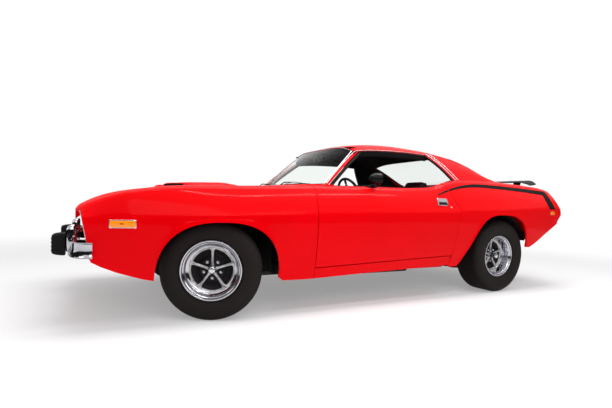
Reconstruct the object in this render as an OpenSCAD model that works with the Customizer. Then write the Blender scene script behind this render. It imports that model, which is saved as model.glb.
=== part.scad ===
// Two-door hardtop muscle car with working hood, deck lid, doors and steering.
// Millimetres. The car faces -Y, its left side is +X, and the ground is Z = 0.

/* [Overall size] */

// Distance between the axles
wheelbase = 2743; // [2300:1:3300]

// Width of the body at its widest, on the side crease
body_width = 1896; // [1500:1:2300]

// Height of the roof above the ground
body_height = 1372; // [1100:1:1650]

// From the front axle to the front of the bumper guards
front_overhang = 955; // [900:0.5:1200]

// From the rear axle to the back of the rear bumper
rear_overhang = 1073.5; // [1040:0.5:1250]

/* [Wheels] */

// Outside diameter of the front tyres
front_tyre_diameter = 658; // [560:1:690]

// Section width of the front tyres
front_tyre_width = 235; // [185:1:245]

// Outside diameter of the rear tyres
rear_tyre_diameter = 704; // [600:1:740]

// Section width of the rear tyres
rear_tyre_width = 275; // [215:1:285]

// Diameter of the rim at the bead seats
bead_diameter = 381; // [330:1:431]

// Outside diameter of the rim flanges
rim_diameter = 400; // [360:1:460]

// Distance between the centre planes of the front tyres
front_track = 1466; // [1380:1:1480]

// Distance between the centre planes of the rear tyres
rear_track = 1495; // [1400:1:1500]

// Number of spokes in each road wheel
spoke_count = 5; // [3:1:8]

// Diameter of the wheel spindles
spindle_diameter = 40; // [25:1:60]

// Running clearance between a spindle and its wheel, on the radius
spindle_clearance = 0.05; // [0.01:0.01:0.1]

/* [Steering] */

// Distance between the two kingpins
kingpin_spacing = 1340; // [1280:1:1380]

// Angle the front wheels are turned to when parked, minus is to the right
parked_steer = -22; // [-30:1:30]

// Diameter of the steering wheel
steering_wheel_diameter = 375; // [320:1:420]

/* [Panels] */

// Thickness of the fenders and quarter panels
panel_thickness = 32; // [15:1:40]

// Gap between neighbouring panels
panel_gap = 7; // [5:0.5:10]

// Thickness of the hood and the deck lid
lid_thickness = 26; // [15:1:40]

// Thickness of the roof
roof_thickness = 34; // [20:1:50]

// Thickness of the glass
glass_thickness = 6; // [4:0.5:10]

// Half the width across the cabin between the doors
cabin_half_width = 780; // [700:1:800]

// Width of the front wheel openings
front_arch_width = 800; // [740:1:900]

// Height of the top of the front wheel openings
front_arch_top = 650; // [640:1:720]

/* [Fittings] */

// Spacing across of the licence plate bolts
plate_bolt_x = 177.8; // [150:0.1:250]

// Spacing up and down of the licence plate bolts
plate_bolt_z = 120.6; // [60:0.1:150]

// Diameter of the licence plate bolt holes
plate_hole_diameter = 7; // [5:0.5:10]

// Diameter of the exhaust pipes
exhaust_diameter = 57; // [40:1:80]

/* [Hidden] */

kx = body_width / 1896;
ky = wheelbase / 2743;
nose_k = front_overhang / 955;
tail_k = rear_overhang / 1073.5;
kz = body_height / 1372;
overall_length = front_overhang + wheelbase + rear_overhang;
front_axle_y = -overall_length / 2 + front_overhang;
rear_axle_y = front_axle_y + wheelbase;
front_r = front_tyre_diameter / 2;
rear_r = rear_tyre_diameter / 2;
bore_r = spindle_diameter / 2 + spindle_clearance;
kingpin_x = kingpin_spacing / 2;
front_end = -overall_length / 2;
rear_end = overall_length / 2;
jack_pad_z = 254;
// Outside of the trunk's side walls in nominal terms: 10 mm inside the rear tyres
tub_x = (rear_track / 2 - rear_tyre_width / 2 - 10) / kx;
// Top of the firewall, under the hood's lower face
firewall_top = 919 - lid_thickness / kz;
plate_face_y = 2292;
hood_rear = -778;
hood_front = -2244;
deck_front = 1535;
deck_rear = 2148;

// side lines of the body: distance along, half width, height
crease_line = [
  [-2240, 832, 668],
  [-2050, 872, 672],
  [-1700, 912, 684],
  [-1420, 930, 694],
  [-900, 932, 716],
  [-300, 930, 737],
  [300, 934, 757],
  [900, 945, 782],
  [1320, 948, 799],
  [1800, 935, 821],
  [2150, 902, 835],
  [2370, 866, 842]
];
shoulder_line = [
  [-2200, 806, 702],
  [-2140, 822, 748],
  [-2065, 838, 790],
  [-1816, 848, 852],
  [-1561, 851, 873],
  [-1276, 852, 887],
  [-760, 850, 914],
  [-300, 848, 930],
  [290, 842, 951],
  [454, 838, 966],
  [572, 832, 996],
  [708, 824, 1034],
  [900, 818, 1050],
  [1223, 814, 1056],
  [1825, 806, 1050],
  [2077, 798, 1038],
  [2230, 788, 1012]
];
crest_line = [
  [-2200, 770, 722],
  [-2140, 784, 764],
  [-2065, 796, 802],
  [-1816, 802, 862],
  [-1561, 804, 884],
  [-1276, 805, 898],
  [-760, 806, 926],
  [-300, 806, 942],
  [290, 800, 963],
  [454, 796, 979],
  [572, 790, 1011],
  [708, 782, 1049],
  [900, 776, 1064],
  [1223, 772, 1070],
  [1825, 762, 1064],
  [2077, 752, 1051],
  [2230, 742, 1026]
];
edge_line = [
  [-2200, 700, 712],
  [-2140, 712, 752],
  [-2065, 722, 790],
  [-1816, 728, 852],
  [-1561, 730, 873],
  [-1276, 730, 888],
  [-760, 730, 926],
  [1500, 672, 1074],
  [1825, 668, 1068],
  [2077, 662, 1055],
  [2230, 655, 1032]
];
roof_line = [
  [-330, 0, 1302],
  [-100, 0, 1347],
  [160, 0, 1372],
  [420, 0, 1371],
  [700, 0, 1352],
  [860, 0, 1320]
];
drip_line = [
  [-330, 545, 1245],
  [-100, 570, 1280],
  [160, 582, 1296],
  [420, 587, 1300],
  [620, 592, 1295],
  [860, 600, 1274],
  [1050, 636, 1216],
  [1200, 662, 1157],
  [1365, 682, 1094],
  [1470, 690, 1073],
  [1600, 694, 1066],
  [1790, 700, 1060]
];

function mix(a, b, t) = a + (b - a) * t;
function seg(k, y, i = 0) = (i >= len(k) - 2 || y < k[i + 1][0]) ? i : seg(k, y, i + 1);
function rise(k, i, c) = (k[i + 1][c] - k[i][c]) / (k[i + 1][0] - k[i][0]);
function span(k, i) = k[i + 1][0] - k[i][0];
function inner_slope(k, i, c) =
  (span(k, i - 1) * rise(k, i, c) + span(k, i) * rise(k, i - 1, c)) / (span(k, i - 1) + span(k, i));
function slope(k, i, c) =
  i == 0 ? 2 * rise(k, 0, c) - inner_slope(k, 1, c)
  : i == len(k) - 1 ? 2 * rise(k, i - 1, c) - inner_slope(k, i - 1, c)
  : inner_slope(k, i, c);
function hermite(a, b, ma, mb, h, t) =
  a * (2 * t * t * t - 3 * t * t + 1) + h * ma * (t * t * t - 2 * t * t + t)
  + b * (3 * t * t - 2 * t * t * t) + h * mb * (t * t * t - t * t);
function curve(k, y, c) =
  let (i = seg(k, y), h = span(k, i), t = (y - k[i][0]) / h)
  hermite(k[i][c], k[i + 1][c], slope(k, i, c), slope(k, i + 1, c), h, t);

// side section: half width at a height below the crease
function tuck(y, z) =
  let (zc = curve(crease_line, y, 2), u = max(0, (zc - z) / (zc - 250)))
  curve(crease_line, y, 1) - 46 * pow(u, 2.2);
// Where a nominal place along the car falls: the nose keeps to the front overhang, the tail to the rear.
function along(y) = y < -1421.5 ? front_axle_y + (y + 1421.5) * nose_k
  : y > 1321.5 ? rear_axle_y + (y - 1321.5) * tail_k
  : front_axle_y + (y + 1421.5) * ky;
function place(p) = [p[0] * kx, along(p[1]), p[2] * kz];

// the nose and the tail lean, so their end columns shift with height
function nose_y(z) = z < 540 ? mix(-2160, -2190, (z - 380) / 160)
  : z < 706 ? mix(-2190, -2220, (z - 540) / 166)
  : z < 722 ? mix(-2220, -2246, (z - 706) / 16) : -2246;
function tail_y(z) = z < 700 ? 2205 : z < 785 ? mix(2205, 2298, (z - 700) / 85)
  : z < 842 ? mix(2298, 2268, (z - 785) / 57) : mix(2268, 2150, (z - 842) / 190);
function lean(s, z) = s < -2040 ? s + (-2040 - s) / 160 * (nose_y(z) + 2200)
  : s > 1960 ? s + (s - 1960) / 190 * (tail_y(z) - 2150) : s;
function gap_y(z) = z < 565 ? mix(600, 645, (z - 370) / 195)
  : z < 770 ? mix(645, 672, (z - 565) / 205) : mix(672, 588, (z - 770) / 185);

// one point of the side at row r of a column whose lowest point is [s, zb]
function side_point(s, zb, r, n) =
  let (zc = curve(crease_line, s, 2))
  r <= n ? let (z = mix(zb, zc, r / n), y = lean(s, z)) [tuck(y, z), y, z]
  : r == n + 1 ? let (zs = curve(shoulder_line, s, 2), z = mix(zc, zs, 0.55), y = lean(s, z))
    [mix(curve(crease_line, y, 1), curve(shoulder_line, y, 1), 0.42), y, z]
  : r == n + 2 ? let (z = curve(shoulder_line, s, 2), y = lean(s, z))
    [curve(shoulder_line, s, 1), y, z]
  : r == n + 3 ? let (z = curve(crest_line, s, 2), y = lean(s, z)) [curve(crest_line, s, 1), y, z]
  : let (z = curve(edge_line, s, 2), y = lean(s, z)) [curve(edge_line, s, 1), y, z];
function side_grid(cols, n, last) =
  [for (r = [0 : n + last]) [for (c = cols) side_point(c[0], c[1], r, n)]];

// inward offset of a grid, square to its rows
function inward(g, t) = [for (r = [0 : len(g) - 1]) [for (c = [0 : len(g[0]) - 1])
  let (a = g[max(0, r - 1)][c], b = g[min(len(g) - 1, r + 1)][c],
    d = [b[0] - a[0], b[2] - a[2]], m = norm(d))
  g[r][c] - t * [d[1] / m, 0, -d[0] / m]]];
function placed(g) = [for (row = g) [for (p = row) place(p)]];

module shell(outer, inner) {
  p = placed(outer);
  q = placed(inner);
  nr = len(p);
  nc = len(p[0]);
  k = nr * nc;
  pts = concat([for (row = p) each row], [for (row = q) each row]);
  faces = concat(
    [for (r = [0 : nr - 2]) for (c = [0 : nc - 2]) for (f = [0, 1]) let (a = r * nc + c)
      f == 0 ? [a, a + nc, a + nc + 1] : [a, a + nc + 1, a + 1]],
    [for (r = [0 : nr - 2]) for (c = [0 : nc - 2]) for (f = [0, 1]) let (a = k + r * nc + c)
      f == 0 ? [a + nc + 1, a + nc, a] : [a + 1, a + nc + 1, a]],
    [for (c = [0 : nc - 2]) for (f = [0, 1])
      f == 0 ? [c, c + 1, k + c + 1] : [c, k + c + 1, k + c]],
    [for (c = [0 : nc - 2]) for (f = [0, 1]) let (a = (nr - 1) * nc + c)
      f == 0 ? [a + 1, a, k + a] : [a + 1, k + a, k + a + 1]],
    [for (r = [0 : nr - 2]) for (f = [0, 1]) let (a = r * nc)
      f == 0 ? [a + nc, a, k + a] : [a + nc, k + a, k + a + nc]],
    [for (r = [0 : nr - 2]) for (f = [0, 1]) let (a = r * nc + nc - 1)
      f == 0 ? [a, a + nc, k + a + nc] : [a, k + a + nc, k + a]]
  );
  polyhedron(points = pts, faces = faces, convexity = 6);
}

module block(x0, x1, y0, y1, z0, z1) {
  a = place([x0, y0, z0]);
  b = place([x1, y1, z1]);
  translate(a) cube(b - a);
}

module both() {
  children();
  mirror([1, 0, 0]) children();
}

module profile_x(pts, x0, x1) {
  translate([x0 * kx, 0, 0]) rotate([90, 0, 90]) linear_extrude((x1 - x0) * kx)
    polygon([for (p = pts) [along(p[0]), p[1] * kz]]);
}

// lowest point of each column
front_arch_a = front_arch_width / 2;
front_arch_y = -1434;
function front_arch_low(f) = f > 90 ? 292 : 258;
front_arch_cols = [for (i = [0 : 14]) let (f = 180 - i * 180 / 14, c = cos(f), s = sin(f))
  [front_arch_y + front_arch_a / (c < 0 ? nose_k : ky) * sign(c) * pow(abs(c), 0.8),
   max(front_arch_low(f), 275 + (front_arch_top / kz - 275) * pow(abs(s), 0.8))]];
fender_cols = concat([[-2200, 412], [-2140, 384], [-2060, 358], [-1960, 325], [-1890, 303]],
  front_arch_cols, [[-1000, 252], [-880, 250], [-757, 251]]);
rear_arch_pts = [[690, 286], [760, 380], [829, 469], [880, 545], [932, 617], [990, 680], [1055, 722],
  [1130, 744], [1215, 752], [1310, 752], [1410, 744], [1500, 718], [1570, 668], [1612, 590],
  [1634, 510], [1640, 442]];

function quarter_cols() = concat([[600, 0], [645, 0]], rear_arch_pts,
  [[1700, 438], [1790, 476], [1940, 556], [2060, 628], [2150, 682]]);
function quarter_y(s, z) = s <= 600 ? gap_y(z) + panel_gap
  : s <= 645 ? mix(gap_y(z) + panel_gap, 690, 0.5) : lean(s, z);
function quarter_point(s, zb, r, n) =
  let (low = s <= 645 ? 284 : zb, zc = curve(crease_line, s, 2))
  r <= n ? let (z = mix(low, zc, r / n), y = quarter_y(s, z)) [tuck(y, z), y, z]
  : r == n + 1 ? let (z = mix(zc, curve(shoulder_line, s, 2), 0.55), y = quarter_y(s, z))
    [mix(curve(crease_line, y, 1), curve(shoulder_line, y, 1), 0.42), y, z]
  : r == n + 2 ? let (z = curve(shoulder_line, s, 2), y = quarter_y(s, z))
    [curve(shoulder_line, s, 1), y, z]
  : let (z = curve(crest_line, s, 2), y = quarter_y(s, z)) [curve(crest_line, s, 1), y, z];
quarter_grid = [for (r = [0 : 7]) [for (c = quarter_cols()) quarter_point(c[0], c[1], r, 4)]];

// deck strip beside the lid, and the roof pillar above the quarter panel
deck_side_grid = [for (r = [0 : 2]) [for (s = [1560, 1700, 1850, 2000, 2090, 2150])
  r == 0 ? let (z = curve(crest_line, s, 2) - 6) [curve(crest_line, s, 1) + 8, lean(s, z), z]
  : r == 1 ? let (z = curve(crest_line, s, 2)) [curve(crest_line, s, 1) - 12, lean(s, z), z]
  : let (z = curve(edge_line, s, 2)) [curve(edge_line, s, 1) + 3, lean(s, z), z]]];
sail_t = [0, 0.12, 0.26, 0.4, 0.56, 0.72, 0.86, 1];
sail_grid = [for (u = [0 : 0.2 : 1]) [for (t = sail_t)
  let (yb = mix(752, 1620, t), yt = mix(540, 1600, t),
    b = [curve(crest_line, yb, 1) + 2, yb, curve(crest_line, yb, 2) - 10],
    e = [curve(drip_line, yt, 1), yt, curve(drip_line, yt, 2)],
    bulge = 16 * 4 * u * (1 - u) * (1 - t))
  [mix(b[0], e[0], u) + bulge, mix(b[1], e[1], u), mix(b[2], e[2], u) + bulge * 0.6]]];

module quarter_side() {
  shell(quarter_grid, inward(quarter_grid, panel_thickness));
  shell(deck_side_grid, [for (row = deck_side_grid) [for (p = row) p - [0, 0, 24]]]);
  shell(sail_grid, [for (r = [0 : 5]) [for (p = sail_grid[r])
    p - mix([22, 0, 22], [0, 0, roof_thickness], r / 5)]]);
}

module left_quarter_panel() {
  color([0.9, 0.01, 0.03]) quarter_side();
}

module right_quarter_panel() {
  color([0.9, 0.01, 0.03]) mirror([1, 0, 0]) quarter_side();
}

fender_grid = side_grid(fender_cols, 4, 4);

module fender_side() {
  shell(fender_grid, inward(fender_grid, panel_thickness));
}

module left_fender() {
  color([0.9, 0.01, 0.03]) fender_side();
}

module right_fender() {
  color([0.9, 0.01, 0.03]) mirror([1, 0, 0]) fender_side();
}

function door_low(y) = 334 + 0.0394 * (y + 713);
door_s = [0, 0.09, 0.2, 0.33, 0.46, 0.6, 0.72, 0.82, 0.91, 1];
door_grid = [for (r = [0 : 7]) [for (t = door_s)
  let (s = mix(-751, 590, t), zc = curve(crease_line, s, 2),
    z = r <= 4 ? mix(door_low(s), zc, r / 4)
      : r == 5 ? mix(zc, curve(shoulder_line, s, 2), 0.55)
      : r == 6 ? curve(shoulder_line, s, 2) : curve(crest_line, s, 2),
    y = mix(-751, gap_y(z), t))
  [r <= 4 ? tuck(y, z) : r == 5 ? mix(curve(crease_line, y, 1), curve(shoulder_line, y, 1), 0.42)
    : r == 6 ? curve(shoulder_line, y, 1) : curve(crest_line, y, 1), y, z]]];
door_inner = [for (r = [0 : 7]) [for (p = door_grid[r])
  [r == 7 ? cabin_half_width + 3 : cabin_half_width + 6, p[1], p[2] - (r == 7 ? 14 : r == 6 ? 34 : 0)]]];

module door_side() {
  shell(door_grid, door_inner);
}

module left_door() {
  color([0.9, 0.01, 0.03]) door_side();
}

module right_door() {
  color([0.9, 0.01, 0.03]) mirror([1, 0, 0]) door_side();
}

module door_mirror() {
  base = place([812, -215, curve(crest_line, -215, 2) - 0.1]);
  head = place([868, -226, 1008]);
  color([0.03, 0.03, 0.035]) {
    hull() {
      translate(base + [0, 0, 0.5]) scale([1, 1.9, 0.5]) cylinder(h = 16, r = 22, $fn = 28);
      translate(base + [12, 2, 14]) cylinder(h = 8, r = 12, $fn = 24);
    }
    hull() {
      translate(base + [12, 2, 14]) sphere(r = 9, $fn = 20);
      translate(head - [4, 0, 30]) sphere(r = 9, $fn = 20);
    }
    hull() {
      translate(head + [0, 38, 0]) rotate([-90, 0, 0]) cylinder(h = 10, r = 46, $fn = 32);
      translate(head - [0, 20, 0]) rotate([-90, 0, 0]) cylinder(h = 10, r = 42, $fn = 32);
      translate(head - [0, 52, 0]) rotate([-90, 0, 0]) cylinder(h = 6, r = 20, $fn = 32);
    }
  }
}

function sill_low(y) = y < -300 ? mix(250, 268, (y + 751) / 451) : mix(268, 300, (y + 300) / 880);
sill_grid = [for (r = [0 : 3]) [for (y = [-751, -500, -250, 0, 250, 450, 588])
  let (z = mix(sill_low(y), door_low(y) - panel_gap / kz, r / 3)) [tuck(y, z) - 2, y, z]]];

module sills() {
  fender_end = [for (r = [0 : 8]) [for (c = [[-880, 250], [-757, 251]]) side_point(c[0], c[1], r, 4)]];
  quarter_end = [for (r = [0 : 7]) [for (c = [[600, 0], [645, 0], [690, 286]]) quarter_point(c[0], c[1], r, 4)]];
  fender_face = inward(fender_end, panel_thickness + 0.3);
  front_face = [for (r = [0 : 5]) fender_face[r]];
  rear_face = inward(quarter_end, panel_thickness + 0.3);
  color([0.85, 0.01, 0.03]) both() {
    shell(sill_grid, [for (row = sill_grid) [for (p = row) [758.3, p[1], p[2]]]]);
    shell(front_face, [for (row = front_face) [for (p = row) [704, p[1], p[2]]]]);
    shell(rear_face, [for (row = rear_face) [for (p = row) [742, p[1], p[2]]]]);
    block(758.3, cabin_half_width - 2, -800, 640, 266, 334);
    block(704, cabin_half_width - 2, -757, -640, 320, 905);
    block(742, cabin_half_width - 2, 540, 640, 320, 960);
  }
}

hood_t = [0, 0.08, 0.2, 0.34, 0.5, 0.66, 0.82, 1];
hood_u = [1, 0.9, 0.75, 0.5, 0.25, 0, -0.25, -0.5, -0.75, -0.9, -1];
hood_grid = [for (u = hood_u) [for (t = hood_t)
  let (s = mix(hood_front + 44, hood_rear, t), y = mix(hood_front - 16 * (1 - u * u), hood_rear, t),
    half = curve(edge_line, s, 1) - panel_gap,
    crown = mix(4, 16, t) * (1 - pow(abs(u), 3)))
  [u * half, y, curve(edge_line, s, 2) + crown]]];

function hood_z(x, y) = curve(edge_line, y, 2)
  + mix(4, 16, (y - hood_front) / (hood_rear - hood_front)) * (1 - pow(x / 725, 3));
module scoop() {
  foot = [[232, -1716], [392, -1490], [392, -1230], [330, -1090], [270, -1090], [232, -1230]];
  rise = [26, 30, 28, 14, 14, 28];
  roof = [for (i = [0 : 5]) let (p = foot[i]) [p[0] + (i < 1 ? 8 : i < 3 ? -8 : 0), p[1], hood_z(p[0], p[1]) + rise[i]]];
  base = [for (p = foot) [p[0], p[1], hood_z(p[0], p[1]) - 10]];
  hull() polyhedron(points = [for (p = concat(base, roof)) place(p)],
    faces = [[0, 1, 2, 3, 4, 5], [11, 10, 9, 8, 7, 6], [0, 6, 7, 1], [1, 7, 8, 2], [2, 8, 9, 3],
      [3, 9, 10, 4], [4, 10, 11, 5], [5, 11, 6, 0]]);
}

module hood() {
  color([0.9, 0.01, 0.03]) {
    shell(hood_grid, [for (row = hood_grid) [for (p = row) p - [0, 0, lid_thickness]]]);
    both() scoop();
  }
}

function deck_z(u, y) = curve(edge_line, y, 2) + 14 * (1 - u * u);
deck_grid = [for (u = hood_u) [for (t = [0, 0.15, 0.35, 0.55, 0.75, 0.9, 1])
  let (s = mix(deck_front, deck_rear, t), half = curve(edge_line, s, 1) - panel_gap)
  [u * half, s, curve(edge_line, s, 2) + 14 * (1 - u * u)]]];

module deck_lid() {
  color([0.9, 0.01, 0.03])
    shell(deck_grid, [for (row = deck_grid) [for (p = row) p - [0, 0, lid_thickness]]]);
}

module rear_spoiler() {
  color([0.03, 0.03, 0.03]) {
    profile_x([[2010, 1128], [2060, 1140], [2140, 1152], [2185, 1148], [2150, 1132], [2060, 1118]],
      -600, 600);
    both() hull() {
      profile_x([[2010, 1128], [2060, 1140], [2140, 1152], [2185, 1148], [2150, 1132], [2060, 1118]], 599, 600);
      profile_x([[2034, 1094], [2070, 1106], [2130, 1114], [2166, 1106], [2145, 1096], [2070, 1086]], 662, 664);
    }
    both() profile_x([[2020, deck_z(0.82, 2020) + 0.3], [2120, deck_z(0.82, 2120) + 0.3], [2150, 1140],
      [2060, 1125]], 560, 590);
  }
}

module front_valance() {
  color([0.85, 0.01, 0.03])
    profile_x([[-2196, 392], [-2150, 384], [-2150, 430], [-2206, 430]], -780, 780);
}

module grille_panel() {
  color([0.05, 0.05, 0.05]) {
    profile_x([[-2185, 545], [-2150, 545], [-2150, 712], [-2185, 712]], -640, 640);
  }
}

module headlights() {
  color([0.85, 0.87, 0.9]) both() translate(place([560, -2185.3, 612])) rotate([90, 0, 0])
    cylinder(h = 30, r = 84, $fn = 48);
}

module front_bumper() {
  color([0.85, 0.85, 0.87]) difference() {
    union() {
      block(-885, 885, -2290, -2235, 437, 527);
      both() block(868, 885, -2290, -2140, 437, 527);
      both() block(420, 500, -2304, -2234, 430, 606);
    }
    for (x = [-1, 1])
      translate([x * plate_bolt_x / 2, along(-2330), 485 * kz])
        rotate([-90, 0, 0]) cylinder(h = 200, r = plate_hole_diameter / 2);
  }
}

module bumper_guards() {
  color([0.02, 0.02, 0.02]) both() {
    y0 = along(-2304.3);
    translate([405, front_end, 415 * kz]) cube([110, y0 - front_end, 140]);
  }
}

module tail_panels() {
  color([0.85, 0.01, 0.03]) {
    difference() {
      union() {
        profile_x([[2262, 842], [2290, 800], [2272, 700], [2195, 560], [2181, 560],
          [2236, 706], [2250, 796], [2226, 836]], -800, 800);
        block(-160, 160, 2262, plate_face_y, 680, 822);
        profile_x([[2165, 1000], [2262, 842], [2226, 836], [2146, 980]], -735, 735);
      }
      for (x = [-1, 1]) for (z = [-1, 1])
        translate([x * plate_bolt_x / 2, along(2150), 750 * kz + z * plate_bolt_z / 2])
          rotate([-90, 0, 0]) cylinder(h = 300, r = plate_hole_diameter / 2);
    }
    shell(tulip_grid, [for (row = tulip_grid) [for (p = row) p - [0, 0, 14]]]);
  }
}

module tail_lights() {
  color([0.6, 0.02, 0.03]) both() profile_x([[2275.9, 720], [2289.4, 795], [2299, 793], [2286, 718]], 420, 760);
}

module rear_bumper() {
  color([0.85, 0.85, 0.87]) {
    y0 = along(2322);
    translate([-705 * kx, y0, 600 * kz]) cube([1410 * kx, rear_end - y0, 80]);
    both() block(500, 560, 2239.2, 2322, 610, 640);
  }
}

module windshield() {
  color([0.7, 0.8, 0.8, 0.4]) shell(windshield_grid,
    [for (row = windshield_grid) [for (p = row) p + [0, 0.67, -0.74] * glass_thickness]]);
}

module rear_window() {
  color([0.7, 0.8, 0.8, 0.4]) shell(rear_window_grid,
    [for (row = rear_window_grid) [for (p = row) p - [0, 0, glass_thickness]]]);
}

tulip_grid = [for (u = [1, 0.75, 0.5, 0.25, 0, -0.25, -0.5, -0.75, -1]) [for (y = [1410, 1440, 1500, 1528])
  y < 1450 ? [u * (curve(drip_line, y, 1) - 2), y, backlight_z(u, y) - glass_thickness - 0.3]
  : [u * (curve(edge_line, y, 1) - (y > 1510 ? 8 : 4)), y, curve(edge_line, y, 2) + 14 * (1 - u * u)]]];
function roof_z(u, y) = let (ze = curve(drip_line, y, 2), zc = curve(roof_line, y, 2))
  ze + (zc - ze) * (1 - pow(abs(u), 4.5));
function header_y(u) = -225 - 60 * (1 - u * u);
function glass_x(u, y) = u * (curve(drip_line, y, 1) - 1.8);
function backlight_z(u, y) = curve(drip_line, y, 2) - 6
  + mix(40, 8, (y - 850) / 590) * (1 - pow(abs(u), mix(4.5, 2.5, (y - 850) / 590)));
roof_t = [0, 0.1, 0.24, 0.4, 0.56, 0.72, 0.87, 1];
roof_grid = [for (u = hood_u) [for (t = roof_t)
  let (y = mix(header_y(u), 850, t), half = curve(drip_line, y, 1) - 1.6) [u * half, y, roof_z(u, y)]]];
windshield_grid = [for (u = hood_u) [for (t = [0, 0.33, 0.67, 1])
  let (low = [u * 655, -560 - 130 * (1 - u * u), 955.5 - 9.3 * (1 - u * u)],
    top = [u * 535, header_y(u) - 9, roof_z(u, header_y(u)) - 8])
  mix(low, top, t) + [0, -14, 12] * 4 * t * (1 - t) * (1 - u * u)]];
rear_window_grid = [for (u = hood_u) [for (t = [0, 0.33, 0.67, 1])
  let (y = mix(850.4, 1440, t)) [glass_x(u, y), y, backlight_z(u, y)]]];

module roof() {
  color([0.9, 0.01, 0.03]) {
    shell(roof_grid, [for (row = roof_grid) [for (p = row) p - [0, 0, roof_thickness]]]);
    both() hull() {
      translate(place([672, -570, 950.3])) cube([52, 60, 4]);
      translate(place([541, -218, 1246])) cube([36, 60, 4]);
    }
  }
}

module cowl_panel() {
  color([0.85, 0.01, 0.03]) {
    profile_x([[-770, 905], [-770, 932], [-700, 940], [-510, 950], [-510, 925], [-700, 912]], -726, 726);
    both() block(560, 620, hood_rear + 0.3, -769, 905, 925);
  }
}

module underbody() {
  apron = [for (r = [0 : 2]) [for (c = [-2040, -1900, -1700, -1500, -1300, -1100, -900])
    let (z = curve(edge_line, c, 2) - panel_thickness - 5.5)
    r == 0 ? [770, c, curve(crest_line, c, 2) - panel_thickness - 7] : r == 1 ? [706, c, z] : [400, c, 740]]];
  color([0.12, 0.12, 0.12]) {
    difference() {
      union() {
        profile_x([[-820, 330], [-740, 262], [640, 262], [640, 287], [-730, 287], [-795, 345]], -560, 560);
        block(-704, 704, -820, -795, 330, firewall_top);
      }
      block(-120, 120, -830, 840, 250, 455);
    }
    difference() {
      block(-135, 135, -820, 640, 287, 470);
      block(-120, 120, -830, 850, 280, 455);
    }
    both() {
      block(560, 758, -740, 640, 262, 287);
      block(560, 704, -820, -740, 262, 330);
      block(620, 700, -640, -560, jack_pad_z, 262);
      block(360, 420, -2120, -820, 330, 410);
      block(395, 421, -2040, -820, 409, 745);
      shell(apron, [for (row = apron) [for (p = row) p - [0, 0, 14]]]);
      block(360, 420, -2235, -2121, 450, 500);
    }
    block(-420, 420, -2150, -2120, 402, 700);
  }
}

module trunk_tub() {
  color([0.12, 0.12, 0.12]) {
    difference() {
      union() {
        profile_x([[640.3, 262], [650, 262], [830, 480], [2180, 480], [2180, 505], [815, 505], [640.3, 293]],
          -tub_x + 40, tub_x - 40);
        block(-135, 135, 660, 840, 300, 470);
      }
      block(-120, 120, 600, 860, 250, 455);
    }
    both() {
      block(430, 490, 760, 2180, 440, 480);
      block(tub_x - 60, tub_x, 1505, 1534.7, 1000, 1060.5);
      block(tub_x - 40, tub_x, 830, 1505, 480, 1020);
      difference() {
        translate([tub_x * kx, rear_axle_y, rear_r]) rotate([0, 90, 0])
          cylinder(h = (860 - tub_x) * kx, r = rear_r + 62);
        translate([(tub_x + 2) * kx, rear_axle_y, rear_r]) rotate([0, 90, 0])
          cylinder(h = 400 * kx, r = rear_r + 50);
        translate([500 * kx, rear_axle_y - 600, -100]) cube([500, 1200, 600 * kz]);
      }
    }
    block(-tub_x, tub_x, 1000, 1505, 1000, 1020);
    block(-tub_x + 40, tub_x - 40, 2160, 2180.7, 500, 575);
  }
}

module dashboard() {
  color([0.03, 0.03, 0.03]) {
    hull() {
      block(-695, 695, -794.7, -560, 780, 890);
      block(-695, 695, -500, -420, 690, 870);
    }
    block(-110, 110, -415, 420, 470.3, 540);
  }
}

module steering_column() {
  color([0.05, 0.05, 0.05]) translate(place([360, -160, 850])) rotate([112, 0, 0])
    cylinder(h = 280.4 * ky - 11.4, r = 26);
}

module steering_wheel() {
  color([0.05, 0.05, 0.05]) translate(place([360, -160, 850])) rotate([112, 0, 0]) {
    translate([0, 0, -45]) rotate_extrude() translate([steering_wheel_diameter / 2 - 12, 0]) circle(r = 12);
    translate([0, 0, -50]) cylinder(h = 49.7, r = 40);
    for (a = [0, 90, 180]) rotate([0, 0, a])
      translate([20, -14, -49]) cube([steering_wheel_diameter / 2 - 32, 28, 8]);
  }
}

module seat_at(x) {
  hull() {
    translate(place([x - 235, -60, 287.3])) cube([470, 470 * ky, 60]);
    translate(place([x - 245, -60, 430])) cube([490, 540.2 * ky, 30]);
  }
  hull() {
    translate(place([x - 245, 470, 330])) cube([490, 110, 60]);
    translate(place([x - 215, 590, 985])) cube([430, 80, 100]);
  }
}

module front_seats() {
  color([0.1, 0.02, 0.03]) {
    seat_at(385);
    seat_at(-385);
  }
}

module rear_seat() {
  color([0.1, 0.02, 0.03]) {
    block(-tub_x + 44, tub_x - 44, 770, 1000, 505.3, 620);
    block(-tub_x + 44, tub_x - 44, 900, 1010, 640, 999.7);
  }
}

module engine() {
  color([0.2, 0.2, 0.2]) {
    block(-280, 280, -1750, -1050, 330.3, 800);
    block(-105, 105, -1060, -420, 290, 420);
  }
}

module exhaust() {
  color([0.15, 0.15, 0.15]) both() {
    translate([300, along(-1000), 215 * kz]) rotate([-90, 0, 0])
      cylinder(h = along(2000) - along(-1000), r = exhaust_diameter / 2);
    hull() {
      translate([265, along(60), 205 * kz]) rotate([-90, 0, 0]) cylinder(h = 520, r = 46, $fn = 32);
      translate([335, along(60), 205 * kz]) rotate([-90, 0, 0]) cylinder(h = 520, r = 46, $fn = 32);
    }
    block(295, 305, 200, 230, 240, 261.7);
    block(295, 305, -700, -670, 230, 261.7);
    block(295, 305, 1600, 1630, 230, 479.7);
  }
}

module fuel_tank() {
  color([0.15, 0.15, 0.15]) block(-250, 250, 1700, 2170, 330, 479.7);
}

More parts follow.
